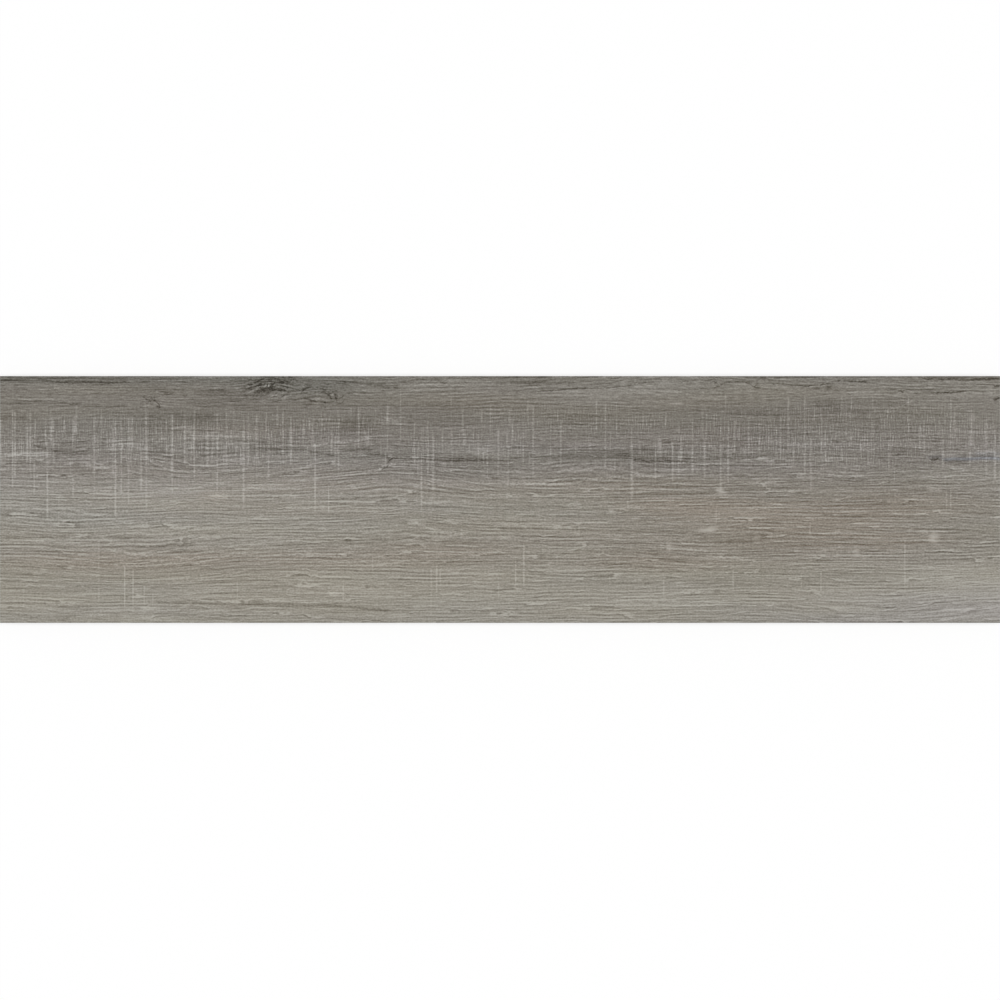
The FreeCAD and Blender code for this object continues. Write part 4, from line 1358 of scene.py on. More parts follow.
def face_columns(shape):
    """Where the face's columns stand: at the saw marks and their sides, at knots and spots, and between."""
    middles = np.array([left for left, *_ in SAW_MARKS])
    reach = SAW_WINDOW * np.array([half_width for *_, half_width, _ in SAW_MARKS])
    sides = np.concatenate((middles - reach, middles + reach))
    sites = clear_lines(np.unique(middles), sides, MARK_GAP)
    knots = [
        left + np.arange(-KNOT_REACH * wide, KNOT_REACH * wide, KNOT_COLUMNS)
        for left, _, wide, *_ in KNOTS
    ]
    spots = [left + wide * SPOT_COLUMNS for left, _, wide, *_ in FILLED_SPOTS if wide > SPOT_REACH]
    sites = clear_lines(sites, np.concatenate(knots + spots), KNOT_GAP)
    bevel = shape.face_bevel / MM
    return grid_lines(bevel, LENGTH - bevel, shape.column_spacing / MM, sites)


def face_rows(shape):
    """Where the face's rows lie, from the lower edge up. They are finer under the upper edge."""
    bevel = shape.face_bevel / MM
    fine = grid_lines(bevel, FINE_ROWS, FINE_ROW_SPACING)
    coarse = grid_lines(FINE_ROWS, WIDTH - bevel, shape.row_spacing / MM)
    return np.concatenate((fine, coarse[1:]))[::-1]


def face_relief(along, down, fields, shape):
    """Depth of the face below its highest point, in millimetres.

    Soft undulation of the worn wood, fine ridges along the grain, grooves at the dark streaks, and
    the shallow cuts of the saw. Each is a depth times a share. A groove has the profile e to the
    minus offset squared.
    """
    worn = 0.5 + 0.5 * drift(along, fields["ring"], *WORN_FIELD)
    ridges = 0.5 + 0.5 * drift(along, fields["ring"], *RIDGE_FIELD)
    depth = shape.wood_relief / MM * (WORN_SHARE * worn + RIDGE_SHARE * ridges)
    groove = fields["dark"] * np.exp(-(fields["dark_offset"] ** 2))
    depth += shape.wood_relief / MM * GROOVE_SHARE * groove / GROOVE_LEVELS
    depth += shape.saw_depth / MM * fields["saw"] / SAW_LIMIT
    return depth - depth.min()


def face_points(left, down, shape):
    """Points of the face's grid, a column at a time, and the print fields at them."""
    along, deep = np.meshgrid(left, down, indexing="ij")
    fields = print_fields(along, deep)
    relief = face_relief(along, deep, fields, shape)
    points = np.stack((along - LENGTH / 2, WIDTH / 2 - deep, THICKNESS - relief), axis=-1)
    return points.reshape(-1, 3), fields


def rim_indices(columns, rows):
    """Indices round the rim of a grid of columns times rows, anticlockwise from its first corner."""
    grid = np.arange(columns * rows).reshape(columns, rows)
    return np.concatenate((grid[:-1, 0], grid[-1, :-1], grid[:0:-1, -1], grid[0, :0:-1]))


def grid_quads(columns, rows):
    """The four corners of every cell of a grid, anticlockwise."""
    grid = np.arange(columns * rows).reshape(columns, rows)
    corners = (grid[:-1, :-1], grid[1:, :-1], grid[1:, 1:], grid[:-1, 1:])
    return np.stack([c.ravel() for c in corners], axis=1)


def band_quads(upper, lower):
    """Quads between two closed rings with the same number of points, the upper one above."""
    return np.stack((upper, lower, np.roll(lower, -1), np.roll(upper, -1)), axis=1)


def inset_ring(ring, height, inset=0.0):
    """A copy of a ring of points moved to a height, and each inwards from the plank's outline."""
    points = ring.copy()
    half = np.array([LENGTH / 2 - inset, WIDTH / 2 - inset])
    points[:, :2] = np.clip(points[:, :2], -half, half)
    points[:, 2] = height
    return points


def stretched_ring(points):
    """A ring moved outwards until it lies on the plank's outline: its ends in X, its sides in Y."""
    half = np.array([LENGTH / 2, WIDTH / 2])
    reach = np.abs(points[:, :2]).max(axis=0)
    grown = points.copy()
    outer = np.abs(points[:, :2]) > reach - LEAST
    grown[:, :2] = np.where(outer, np.sign(points[:, :2]) * half, points[:, :2])
    return grown


def edge_rings(rim, shape):
    """Rings under the face's rim: foot of the bevel, half way down, and both edges of the back's bevel.

    The first one drops at the chips: their size times how far a random field is over its threshold.
    """
    outline = stretched_ring(rim)
    back_bevel = shape.back_bevel / MM
    rings = [
        inset_ring(outline, THICKNESS - shape.face_bevel / MM),
        inset_ring(outline, THICKNESS / 2),
        inset_ring(outline, back_bevel),
        inset_ring(outline, 0.0, back_bevel),
    ]
    run = np.arange(len(rim)) * 1.0
    chips = np.clip(drift(run, np.zeros_like(run), *CHIP_FIELD) - CHIP_START, 0.0, 1.0)
    rings[0][:, 2] -= shape.chip_size / MM * chips
    return rings


def back_grid():
    """The back's grid lines and heights, read from the solid.

    Its two lowest levels are the rib crests and the cell floors. The lines are where it has them,
    so a grid point is on a floor where a floor line crosses a floor line, and on a crest elsewhere.
    """
    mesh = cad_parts[NODE].data
    points = np.empty(len(mesh.vertices) * 3, np.float32)
    mesh.vertices.foreach_get("co", points)
    points = points.reshape(-1, 3) / MM
    crest_height, floor_height = np.unique(points[:, 2].round(3))[:2]
    crest = points[np.abs(points[:, 2] - crest_height) < HEIGHT_REACH]
    floor = points[np.abs(points[:, 2] - floor_height) < HEIGHT_REACH]
    inner = np.abs(crest[:, 0]) < LENGTH / 2 - OUTLINE_REACH
    inner &= np.abs(crest[:, 1]) < WIDTH / 2 - OUTLINE_REACH
    lines = []
    for axis in (0, 1):
        crests = np.unique(crest[inner][:, axis].round(2))
        floors = np.unique(floor[:, axis].round(2))
        both = np.concatenate((crests, floors))
        is_floor = np.concatenate((np.zeros(len(crests), bool), np.ones(len(floors), bool)))
        order = np.argsort(both)
        lines.append((both[order], is_floor[order]))
    (across, floor_x), (up, floor_y) = lines
    height = np.where(floor_x[:, None] & floor_y[None, :], floor_height, 0.0)
    return across, up, height


def split_quads(quads, height):
    """Triangles of the back's cells, cut along the diagonal on which the drafted corners meet."""
    z = height.ravel()[quads]
    straight = z[:, 0] + z[:, 2] >= z[:, 1] + z[:, 3]
    a, b, c, d = quads.T
    one = np.where(straight[:, None], np.stack((a, b, c), 1), np.stack((a, b, d), 1))
    two = np.where(straight[:, None], np.stack((a, c, d), 1), np.stack((b, c, d), 1))
    return np.concatenate((one, two))


def zipped(outer, inner, outer_at, inner_at):
    """Triangles between two rows of points that run side by side, with unlike spacing.

    Each piece of one row joins the point of the other row that it has come level with.
    """
    outer_mid = (outer_at[:-1] + outer_at[1:]) / 2
    inner_mid = (inner_at[:-1] + inner_at[1:]) / 2
    level_inner = np.searchsorted(inner_mid, outer_mid, side="left")
    level_outer = np.searchsorted(outer_mid, inner_mid, side="right")
    first = np.stack((outer[:-1], outer[1:], inner[level_inner]), axis=1)
    second = np.stack((inner[1:], inner[:-1], outer[level_outer]), axis=1)
    return np.concatenate((first, second))


def ring_sides(indices, columns, rows):
    """The four sides of a rim, each with both of its corners, anticlockwise from the first corner."""
    closed = np.concatenate((indices, indices[:1]))
    stops = np.cumsum((0, columns - 1, rows - 1, columns - 1, rows - 1))
    return [closed[start:end + 1] for start, end in zip(stops[:-1], stops[1:])]


def back_triangles(points, first, height, rim, columns, rows):
    """Triangles of the back: its cells from point number first on, and strips from them to the rim."""
    cells = split_quads(grid_quads(*height.shape), height) + first
    outer_sides = ring_sides(rim, columns, rows)
    inner_sides = ring_sides(rim_indices(*height.shape) + first, *height.shape)
    triangles = [cells]
    for number, (outer, inner) in enumerate(zip(outer_sides, inner_sides)):
        axis = number % 2
        way = 1.0 if number < 2 else -1.0
        triangles.append(zipped(outer, inner, way * points[outer, axis], way * points[inner, axis]))
    return np.concatenate(triangles)[:, ::-1]


def plank_surface(shape):
    """Points, faces, material numbers and printed fields of the whole plank, in millimetres.

    The face is a grid. Rings run from its rim over the bevel, down the ground sides and over the
    back's bevel. The back is a grid of its own, joined by strips. The fields go over the bevel.
    """
    left, down = face_columns(shape), face_rows(shape)
    columns, rows = len(left), len(down)
    top, fields = face_points(left, down, shape)
    rim = rim_indices(columns, rows)
    rings = edge_rings(top[rim], shape)
    across, up, height = back_grid()
    gx, gy = np.meshgrid(across, up, indexing="ij")
    back = np.stack((gx, gy, height), axis=-1).reshape(-1, 3)
    points = np.concatenate((top, *rings, back))

    quads = [grid_quads(columns, rows)]
    upper = rim
    for number in range(len(rings)):
        lower = np.arange(len(rim)) + len(top) + number * len(rim)
        quads.append(band_quads(upper, lower))
        upper = lower
    triangles = back_triangles(points, len(points) - len(back), height, upper, columns, rows)
    face_count = len(quads[0]) + len(quads[1])
    quads = np.concatenate(quads)
    kinds = np.repeat((FACE, SIDES, BACK), (face_count, len(quads) - face_count, len(triangles)))
    for name, values in fields.items():
        values = values.ravel()
        fields[name] = np.concatenate((values, values[rim]))
    return points, quads, triangles, kinds, fields


def own_uv(points, faces, kinds):
    """The piece's own map: place along the plank against place across it, or up it for the sides.

    The face has most of the height of the square, the back a band under it, and the sides two
    thin bands at the bottom.
    """
    uv = np.empty((len(faces), 2))
    u = (points[:, 0] + LENGTH / 2) / LENGTH
    v = (points[:, 1] + WIDTH / 2) / WIDTH
    w = points[:, 2] / THICKNESS
    uv[:, 0] = MAP_ALONG[0] + MAP_ALONG[1] * u[faces]
    for kind, (start, height) in ((FACE, FACE_BAND), (BACK, BACK_BAND)):
        uv[kinds == kind, 1] = start + height * v[faces[kinds == kind]]
    side = kinds == SIDES
    at = faces[side]
    start = np.where(v[at] < 0.5, LOWER_SIDE_START, UPPER_SIDE_START)
    uv[side, 1] = start + SIDE_BAND_HEIGHT * w[at]
    return uv


def add_fields(mesh, fields):
    """The print fields as vector attributes of the points, and zero on points without them."""
    for name, parts in ATTRIBUTES.items():
        values = np.zeros((len(mesh.vertices), 3), np.float32)
        for number, part in enumerate(parts):
            values[: len(fields[part]), number] = fields[part]
        attribute = mesh.attributes.new(name, "FLOAT_VECTOR", "POINT")
        attribute.data.foreach_set("vector", values.ravel())


def make_plank(shape):
    """The fired plank as one object, with its materials' numbers, print fields and map."""
    points, quads, triangles, kinds, fields = plank_surface(shape)
    mesh = bpy.data.meshes.new("fired_plank")
    mesh.from_pydata((points * MM).tolist(), [], quads.tolist() + triangles.tolist())
    mesh.update()
    mesh.polygons.foreach_set("material_index", kinds.astype(np.int32))
    mesh.polygons.foreach_set("use_smooth", kinds == FACE)
    add_fields(mesh, fields)
    corners = np.concatenate((quads.ravel(), triangles.ravel()))
    sizes = np.repeat((4, 3), (len(quads), len(triangles)))
    uv = own_uv(points, corners, np.repeat(kinds, sizes))
    layer = mesh.uv_layers.new(name="OFBake")
    layer.data.foreach_set("uv", uv.astype(np.float32).ravel())
    plank = bpy.data.objects.new("fired_plank", mesh)
    bpy.context.scene.collection.objects.link(plank)
    return plank


class Shader:
    """Short ways to add nodes to one material."""

    def __init__(self, name):
        self.material = bpy.data.materials.new(name)
        self.material.use_nodes = True
        self.nodes = self.material.node_tree.nodes
        self.links = self.material.node_tree.links
        self.surface = self.nodes["Principled BSDF"]

    def put(self, socket, value):
        """Links a socket to a node's output, or sets its own value."""
        if isinstance(value, bpy.types.NodeSocket):
            self.links.new(value, socket)
        else:
            socket.default_value = value

    def dress(self, **values):
        """Puts values on the surface's sockets. An underscore stands for each space in a socket's name."""
        for name, value in values.items():
            self.put(self.surface.inputs[name.replace("_", " ")], value)

    def math(self, operation, a, b=0.0, c=0.0):
        """One step of arithmetic on up to three numbers."""
        node = self.nodes.new("ShaderNodeMath")
        node.operation = operation
        for socket, value in zip(node.inputs, (a, b, c)):
            self.put(socket, value)
        return node.outputs[0]

    def add(self, a, b):
        """a plus b."""
        return self.math("ADD", a, b)

    def times(self, a, b):
        """a times b."""
        return self.math("MULTIPLY", a, b)

    def blend(self, a, b, c):
        """a times b plus c."""
        return self.math("MULTIPLY_ADD", a, b, c)

    def wave(self, angle):
        """Sine of an angle in radians."""
        return self.math("SINE", angle)

    def between(self, value, low, high, out_low=0.0, out_high=1.0):
        """Maps low to high onto out_low to out_high, and holds it between them."""
        node = self.nodes.new("ShaderNodeMapRange")
        node.clamp = True
        names = ("Value", "From Min", "From Max", "To Min", "To Max")
        for name, given in zip(names, (value, low, high, out_low, out_high)):
            self.put(node.inputs[name], given)
        return node.outputs["Result"]

    def profile(self, offset):
        """Bell shaped profile of a streak: e to the minus offset squared."""
        return self.math("POWER", math.exp(-1.0), self.times(offset, offset))

    def keen_profile(self, offset, share):
        """The bell shaped profile, less a share of one twice as wide."""
        wide = self.math("POWER", math.exp(-0.25), self.times(offset, offset))
        return self.blend(wide, -share, self.profile(offset))

    def parts(self, vector):
        """The three numbers of a vector."""
        node = self.nodes.new("ShaderNodeSeparateXYZ")
        self.links.new(vector, node.inputs[0])
        return node.outputs

    def attribute(self, name):
        """The three numbers of one of the mesh's vector attributes."""
        node = self.nodes.new("ShaderNodeAttribute")
        node.attribute_name = name
        return self.parts(node.outputs["Vector"])

    def place(self):
        """The place on the plank as a vector, in millimetres from its middle."""
        metres = self.nodes.new("ShaderNodeTexCoord").outputs["Object"]
        node = self.nodes.new("ShaderNodeVectorMath")
        node.operation = "SCALE"
        self.links.new(metres, node.inputs[0])
        node.inputs["Scale"].default_value = 1.0 / MM
        return node.outputs[0]

    def solid_noise(self, vector, scale, detail, rough=0.5):
        """Noise from 0 to 1, with so many blotches a unit of the vector."""
        node = self.nodes.new("ShaderNodeTexNoise")
        self.put(node.inputs["Vector"], vector)
        node.inputs["Scale"].default_value = scale
        node.inputs["Detail"].default_value = detail
        node.inputs["Roughness"].default_value = rough
        return node.outputs["Fac"]

    def noise(self, along, down, cell_along, cell_down, layer, detail, rough=0.5):
        """Noise from 0 to 1 whose blotches are as long and as wide as the two cells."""
        node = self.nodes.new("ShaderNodeCombineXYZ")
        x = self.math("DIVIDE", along, cell_along)
        y = self.math("DIVIDE", down, cell_down)
        for socket, value in zip(node.inputs, (x, y, layer)):
            self.put(socket, value)
        return self.solid_noise(node.outputs[0], 1.0, detail, rough)

    def keen(self, along, down, cell_along, cell_down, layer, step):
        """Noise less the mean of itself a step higher and lower, so that only thin lines are left."""
        here, above, below = (
            self.noise(along, at, cell_along, cell_down, layer, 1.0)
            for at in (down, self.add(down, step), self.add(down, -step))
        )
        return self.blend(self.add(above, below), -0.5, here)

    def ramp(self, value, stops):
        """A colour ramp from pairs of a place from 0 to 1 and a linear colour."""
        node = self.nodes.new("ShaderNodeValToRGB")
        band = node.color_ramp
        while len(band.elements) < len(stops):
            band.elements.new(0.5)
        for element, (place, colour) in zip(band.elements, stops):
            element.position = place
            element.color = (*colour, 1.0)
        self.put(node.inputs["Fac"], value)
        return node.outputs["Color"]

    def mix(self, share, a, b):
        """Colour a blended into colour b by a share, which is held between 0 and 1."""
        node = self.nodes.new("ShaderNodeMix")
        node.data_type = "RGBA"
        node.clamp_factor = True
        self.put(node.inputs["Factor"], share)
        self.put(node.inputs["A"], a)
        self.put(node.inputs["B"], b)
        return node.outputs["Result"]

    def bump(self, height, distance, strength):
        """Small relief of the surface: a height from 0 to 1 times a distance in metres."""
        node = self.nodes.new("ShaderNodeBump")
        node.inputs["Strength"].default_value = strength
        node.inputs["Distance"].default_value = distance
        self.put(node.inputs["Height"], height)
        return node.outputs[0]


# In the values below, four numbers map what is between the first two onto the last two

# Levels at which the print's colour ramps have their stops
RAMP_LEVELS = (40, 70, 90, 105, 118, 130, 142, 155, 170, 190, 215)

# Tints of the print: levels added to the red and to the blue of its grey
TINTS = {
    "neutral": (4.3, -7.8),
    "yellow": (5.0, -11.7),
    "cool": (4.9, -4.2),
    "warm": (8.2, -11.0),
    "green": (2.0, -6.4),
    "bluish": (-1.0, 3.0),
}

# Level under which the print turns browner, and by how much of a level for each one
BROWN_LEVEL = 130.0
BROWN_RATE = 0.02

# Blotches of the print: cell along, cell down, layer, detail
SHORT_PORES = (4.0, 0.74, 1.0, 0.0)
VEINS = (60.0, 2.6, 9.0, 1.0)
GRIT = (1.2, 0.8, 4.0, 0.0)
DOTS = (2.2, 0.9, 6.0, 0.0)
ROW_BENDS = (22.0, 3.0, 14.0, 1.0)
ROW_PATCHES = (16.0, 2.6, 15.0, 1.0)
JAGS = (4.0, 12.0, 16.0, 1.0)
WINDINGS = (34.0, 6.0, 7.0, 3.0)
OPEN_PATCHES = (24.0, 3.4, 8.0, 1.0)
RAGGED_EDGES = (1.5, 1.2, 17.0, 0.0)

# Thin lines of the print: cell along the line, cell across it, layer, step to each side
FIBRES = (9.0, 1.0, 2.0, 0.9)
LONG_LINES = (38.0, 1.1, 3.0, 0.9)
THREADS = (7.0, 0.8, 10.0, 0.7)
TICKS = (1.7, 0.85, 13.0, 0.7)

# Levels of each layer of the print at its strongest
FIBRE_LEVELS = 42.0
VEIN_LEVELS = 34.0
GRIT_LEVELS = 48.0
ROW_LEVELS = 7.5
# The open grain's pale and dark lines: partly printed grain, partly a painted highlight and painted shade
# of shallow grooves
PALE_LINE_AND_HIGHLIGHT_LEVELS = 30.0
DARK_LINE_AND_SHADE_LEVELS = -20.0
THREAD_LEVELS = 16.0
TICK_LEVELS = 18.0

# Two layers change across the plank: millimetres above its middle, levels below and above them
LAYER_CHANGE = (8.0, 24.0)
PORE_LEVELS = (30.0, 48.0)
LINE_LEVELS = (70.0, 50.0)

# Rows of pores: their spacing in millimetres, how far they bend in radians, and where they show
PORE_ROW_SPACING = 2.0
ROW_BEND = 14.0
ROW_SHARES = (0.38, 0.62, 0.1, 1.0)

# Open grain of the upper part: spacing of its lines in millimetres, and how far they wind and jag
OPEN_SPACING = 4.4
WINDING = 20.0
JAG = 2.5

# A pale line is the top of a wave, and a dark one the top of the same wave shifted by so many radians. The
# dark line always falls on the same side of the pale one, so the pair is partly printed grain and partly a
# painted highlight and painted shade of a shallow groove
CREST_SPAN = (0.7, 1.0)
TROUGH_SPAN = (0.75, 1.0)
TROUGH_SHIFT = -1.0

# Open grain is where its patches are over these values, and between these millimetres above the middle
OPEN_SPAN = (0.42, 0.62)
OPEN_BAND = (54.0, 22.0)

# Threads across the grain: value of the line, share
THREAD_SHARES = (0.0, 0.3, -0.2, 1.2)

# Beads, as shares of a mark's levels: from the rows of pores, and from the value of the dots
ROW_BEADS = 0.3
SAW_BEADS = (0.3, 0.7, 0.7, 1.3)
PALE_BEADS = (0.3, 0.7, 1.3, 2.3)
DARK_BEADS = (0.3, 0.7, -1.9, -1.1)

# Thin streaks: how ragged their edges are, in half widths, and the share of their halo
PALE_RAGGED = 3.0
DARK_RAGGED = 2.0
PALE_HALO = 0.35
DARK_HALO = 0.2

# What is over this level is halved, so that the palest strokes don't glare
PALEST_LEVEL = 162.0

# The pinkish tint is stronger in the dark lines: value of a line, share
WARM_LINES = (0.16, -0.16, 0.3, 1.4)

# Glaze: roughness from the pores, gloss, and its own small relief in metres with its strength
GLAZE_ROUGHNESS = (0.3, 0.7, 0.55, 0.68)
GLAZE_GLOSS = 0.25
GLAZE_RELIEF = (0.00002, 0.3)

# Fired clay: places of its three shades in the noise
SHADE_PLACES = (0.3, 0.5, 0.7)

# Ground sides: grain's blotches a millimetre and detail, shades, roughness, and small relief
GROUND_GRAIN = (2.2, 4.0)
GROUND_SHADES = (0.69, 1.0, 1.24)
GROUND_ROUGHNESS = (0.3, 0.7, 0.75, 0.9)
GROUND_RELIEF = (0.00004, 0.5)

# Pressed back: the same, with one roughness
PRESSED_GRAIN = (0.9, 6.0)
PRESSED_SHADES = (0.79, 1.05, 1.27)
PRESSED_ROUGHNESS = 0.85
PRESSED_RELIEF = (0.00005, 0.6)

# Kiln wash: smears as blotches with their roughness, share from them, and millimetres up the ribs
WASH_SMEARS = (9.0, 60.0, 3.0, 4.0, 0.6)
WASH_SHARES = (0.42, 0.62, 0.1, 0.85)
WASH_HEIGHT = (0.12, 0.0)


def linear(level):
    """A display level from 0 to 255 as linear light, by the usual display curve."""
    share = level / LEVELS
    return share / 12.92 if share <= 0.04045 else ((share + 0.055) / 1.055) ** 2.4


def tinted(level, red, blue):
    """A grey level with a little added to its red and to its blue, as a linear colour.

    A darker one is browner: its red gets BROWN_RATE more for each level under BROWN_LEVEL, its
    blue as much less.
    """
    browner = BROWN_RATE * (BROWN_LEVEL - level)
    return tuple(linear(level + extra) for extra in (red + browner, 0.0, blue - browner))


def stops_for(levels, red, blue):
    """Ramp stops whose places are the levels, so that a tone of so many levels shows as such."""
    return [(level / LEVELS, tinted(level, red, blue)) for level in levels]


def shaded(colour, shares):
    """Ramp stops of a colour times each share."""
    return [(place, tuple(part * share for part in colour)) for place, share in zip(SHADE_PLACES, shares)]


def print_inputs(s):
    """The mesh's print fields by name, and the place on the face: x along it and y up it."""
    fields = {}
    for name, parts in ATTRIBUTES.items():
        fields.update(zip(parts, s.attribute(name)))
    x, y, _ = s.parts(s.place())
    return SimpleNamespace(x=x, y=y, **fields)


def fine_grain(s, f):
    """Levels of the fine grain, and the layers of it that the rest of the print follows.

    It is the sum of short pores, fibres, long lines, veins, grit and rows of pores. A row is a sine
    of the ring coordinate, bent by a noise.
    """
    pores = s.noise(f.along, f.ring, *SHORT_PORES)
    lines = s.keen(f.along, f.ring, *LONG_LINES)
    bend = s.noise(f.along, f.ring, *ROW_BENDS)
    row = s.wave(s.blend(bend, ROW_BEND, s.times(f.ring, 2.0 * math.pi / PORE_ROW_SPACING)))
    row_share = s.between(s.noise(f.along, f.ring, *ROW_PATCHES), *ROW_SHARES)

    fine = s.times(s.add(pores, -0.5), s.between(f.y, *LAYER_CHANGE, *PORE_LEVELS))
    fine = s.blend(s.keen(f.along, f.ring, *FIBRES), FIBRE_LEVELS, fine)
    fine = s.blend(lines, s.between(f.y, *LAYER_CHANGE, *LINE_LEVELS), fine)
    fine = s.blend(s.add(s.noise(f.along, f.ring, *VEINS), -0.5), VEIN_LEVELS, fine)
    fine = s.blend(s.add(s.noise(f.x, f.y, *GRIT), -0.5), GRIT_LEVELS, fine)
    fine = s.blend(s.times(row, row_share), ROW_LEVELS, fine)
    return fine, pores, lines, row


def with_open_grain_and_groove_shade(s, f, level):
    """The print with the winding lines of its upper part: tops of a sine of the ring coordinate. Each pale
    line has a dark line on the same side of it: partly printed grain, partly a painted highlight and
    painted shade of a shallow groove.
    """
    winding = s.times(f.ring, 2.0 * math.pi / OPEN_SPACING)
    winding = s.blend(s.noise(f.along, f.ring, *WINDINGS), WINDING, winding)
    winding = s.blend(s.noise(f.along, f.ring, *JAGS), JAG, winding)
    # Painted highlight and painted shade: each pale line gets a dark one beside it, as on the lit and
    # shaded walls of a groove, partly printed grain
    crest = s.between(s.wave(winding), *CREST_SPAN)
    dark_line_and_shade = s.between(s.wave(s.add(winding, TROUGH_SHIFT)), *TROUGH_SPAN)
    patches = s.between(s.noise(f.along, f.ring, *OPEN_PATCHES), *OPEN_SPAN)
    share = s.times(patches, s.between(f.y, *OPEN_BAND))
    level = s.blend(s.times(crest, share), PALE_LINE_AND_HIGHLIGHT_LEVELS, level)
    return s.blend(s.times(dark_line_and_shade, share), DARK_LINE_AND_SHADE_LEVELS, level)


def with_saw_marks(s, f, level, row, dots):
    """The print with threads and ticks across the grain, and the saw marks, beaded by the rows.

    A mark's profile is 1 less its offset in half widths: pale within one, and a little dark beyond.
    """
    threads = s.between(s.keen(f.y, f.x, *THREADS), *THREAD_SHARES)
    ticks = s.keen(f.y, f.x, *TICKS)
    beads = s.blend(row, ROW_BEADS, s.between(dots, *SAW_BEADS))
    cut = s.times(s.blend(f.saw_offset, -1.0, 1.0), f.saw)
    level = s.blend(s.times(s.times(threads, f.woven), beads), THREAD_LEVELS, level)
    level = s.blend(s.times(ticks, f.woven), TICK_LEVELS, level)
    return s.blend(cut, beads, level)


def with_streaks(s, f, level, dots):
    """The print with its thin pale and dark streaks, whose edges are ragged and which are beaded."""
    rough = s.add(s.noise(f.x, f.ring, *RAGGED_EDGES), -0.5)
    for offset, strength, ragged, halo, beads in (
        (f.pale_offset, f.pale, PALE_RAGGED, PALE_HALO, PALE_BEADS),
        (f.dark_offset, f.dark, DARK_RAGGED, DARK_HALO, DARK_BEADS),
    ):
        line = s.times(s.keen_profile(s.blend(rough, ragged, offset), halo), strength)
        level = s.blend(line, s.between(dots, *beads), level)
    return level


def print_colour(s, f, level, lines):
    """The print's colour: one ramp of levels for each tint, mixed by the fields."""
    place = s.math("DIVIDE", level, LEVELS)
    tints = {name: s.ramp(place, stops_for(RAMP_LEVELS, *tint)) for name, tint in TINTS.items()}
    colour = s.mix(f.straw, tints["neutral"], tints["yellow"])
    colour = s.mix(s.times(f.straw, -1.0), colour, tints["cool"])
    colour = s.mix(s.times(f.warmth, s.between(lines, *WARM_LINES)), colour, tints["warm"])
    colour = s.mix(s.times(f.warmth, -1.0), colour, tints["green"])
    return s.mix(s.times(s.profile(f.slate_offset), f.slate), colour, tints["bluish"])


def printed_face():
    """The glazed wood print of the face: its tone, plus the levels of one layer after another."""
    s = Shader("wood_print_glaze")
    f = print_inputs(s)
    fine, pores, lines, row = fine_grain(s, f)
    dots = s.noise(f.x, f.ring, *DOTS)
    level = s.blend(fine, f.contrast, f.tone)
    level = with_open_grain_and_groove_shade(s, f, level)
    level = with_saw_marks(s, f, level, row, dots)
    level = with_streaks(s, f, level, dots)
    level = s.blend(s.math("MAXIMUM", s.add(level, -PALEST_LEVEL), 0.0), -0.5, level)
    s.dress(
        Base_Color=print_colour(s, f, level, lines),
        Roughness=s.between(pores, *GLAZE_ROUGHNESS),
        Specular_IOR_Level=GLAZE_GLOSS,
        Normal=s.bump(level, *GLAZE_RELIEF),
    )
    return s.material


def fired_body(colours):
    """The bare fired body on the ground sides: clay with fine dark and light grains."""
    s = Shader("ground_porcelain")
    grain = s.solid_noise(s.place(), *GROUND_GRAIN)
    s.dress(
        Base_Color=s.ramp(grain, shaded(colours.clay, GROUND_SHADES)),
        Roughness=s.between(grain, *GROUND_ROUGHNESS),
        Normal=s.bump(grain, *GROUND_RELIEF),
    )
    return s.material


def keyed_back(colours):
    """The pressed back: fired clay with a thin white kiln wash that stays on the rib crests."""
    s = Shader("pressed_back")
    place = s.place()
    x, y, z = s.parts(place)
    grain = s.solid_noise(place, *PRESSED_GRAIN)
    clay = s.ramp(grain, shaded(colours.clay, PRESSED_SHADES))
    smears = s.between(s.noise(x, y, *WASH_SMEARS), *WASH_SHARES)
    wash = s.times(s.between(z, *WASH_HEIGHT), smears)
    s.dress(
        Base_Color=s.mix(wash, clay, (*colours.kiln_wash, 1.0)),
        Roughness=PRESSED_ROUGHNESS,
        Normal=s.bump(grain, *PRESSED_RELIEF),
    )
    return s.material


def make_floor(stage):
    """A pale level floor under the plank. To the camera it is a little lighter, up to white."""
    half = stage.floor_size / 2
    mesh = bpy.data.meshes.new("floor")
    corners = [(-half, -half, 0), (half, -half, 0), (half, half, 0), (-half, half, 0)]
    mesh.from_pydata(corners, [], [(0, 1, 2, 3)])
    floor = bpy.data.objects.new("floor", mesh)
    bpy.context.scene.collection.objects.link(floor)
    s = Shader("pale_floor")
    grey = stage.floor_tone
    path = s.nodes.new("ShaderNodeLightPath")
    s.dress(
        Base_Color=(grey, grey, grey, 1.0),
        Roughness=1.0,
        Specular_IOR_Level=0.0,
        Emission_Color=WHITE,
        Emission_Strength=s.times(path.outputs["Is Camera Ray"], 1.0 - grey),
    )
    mesh.materials.append(s.material)


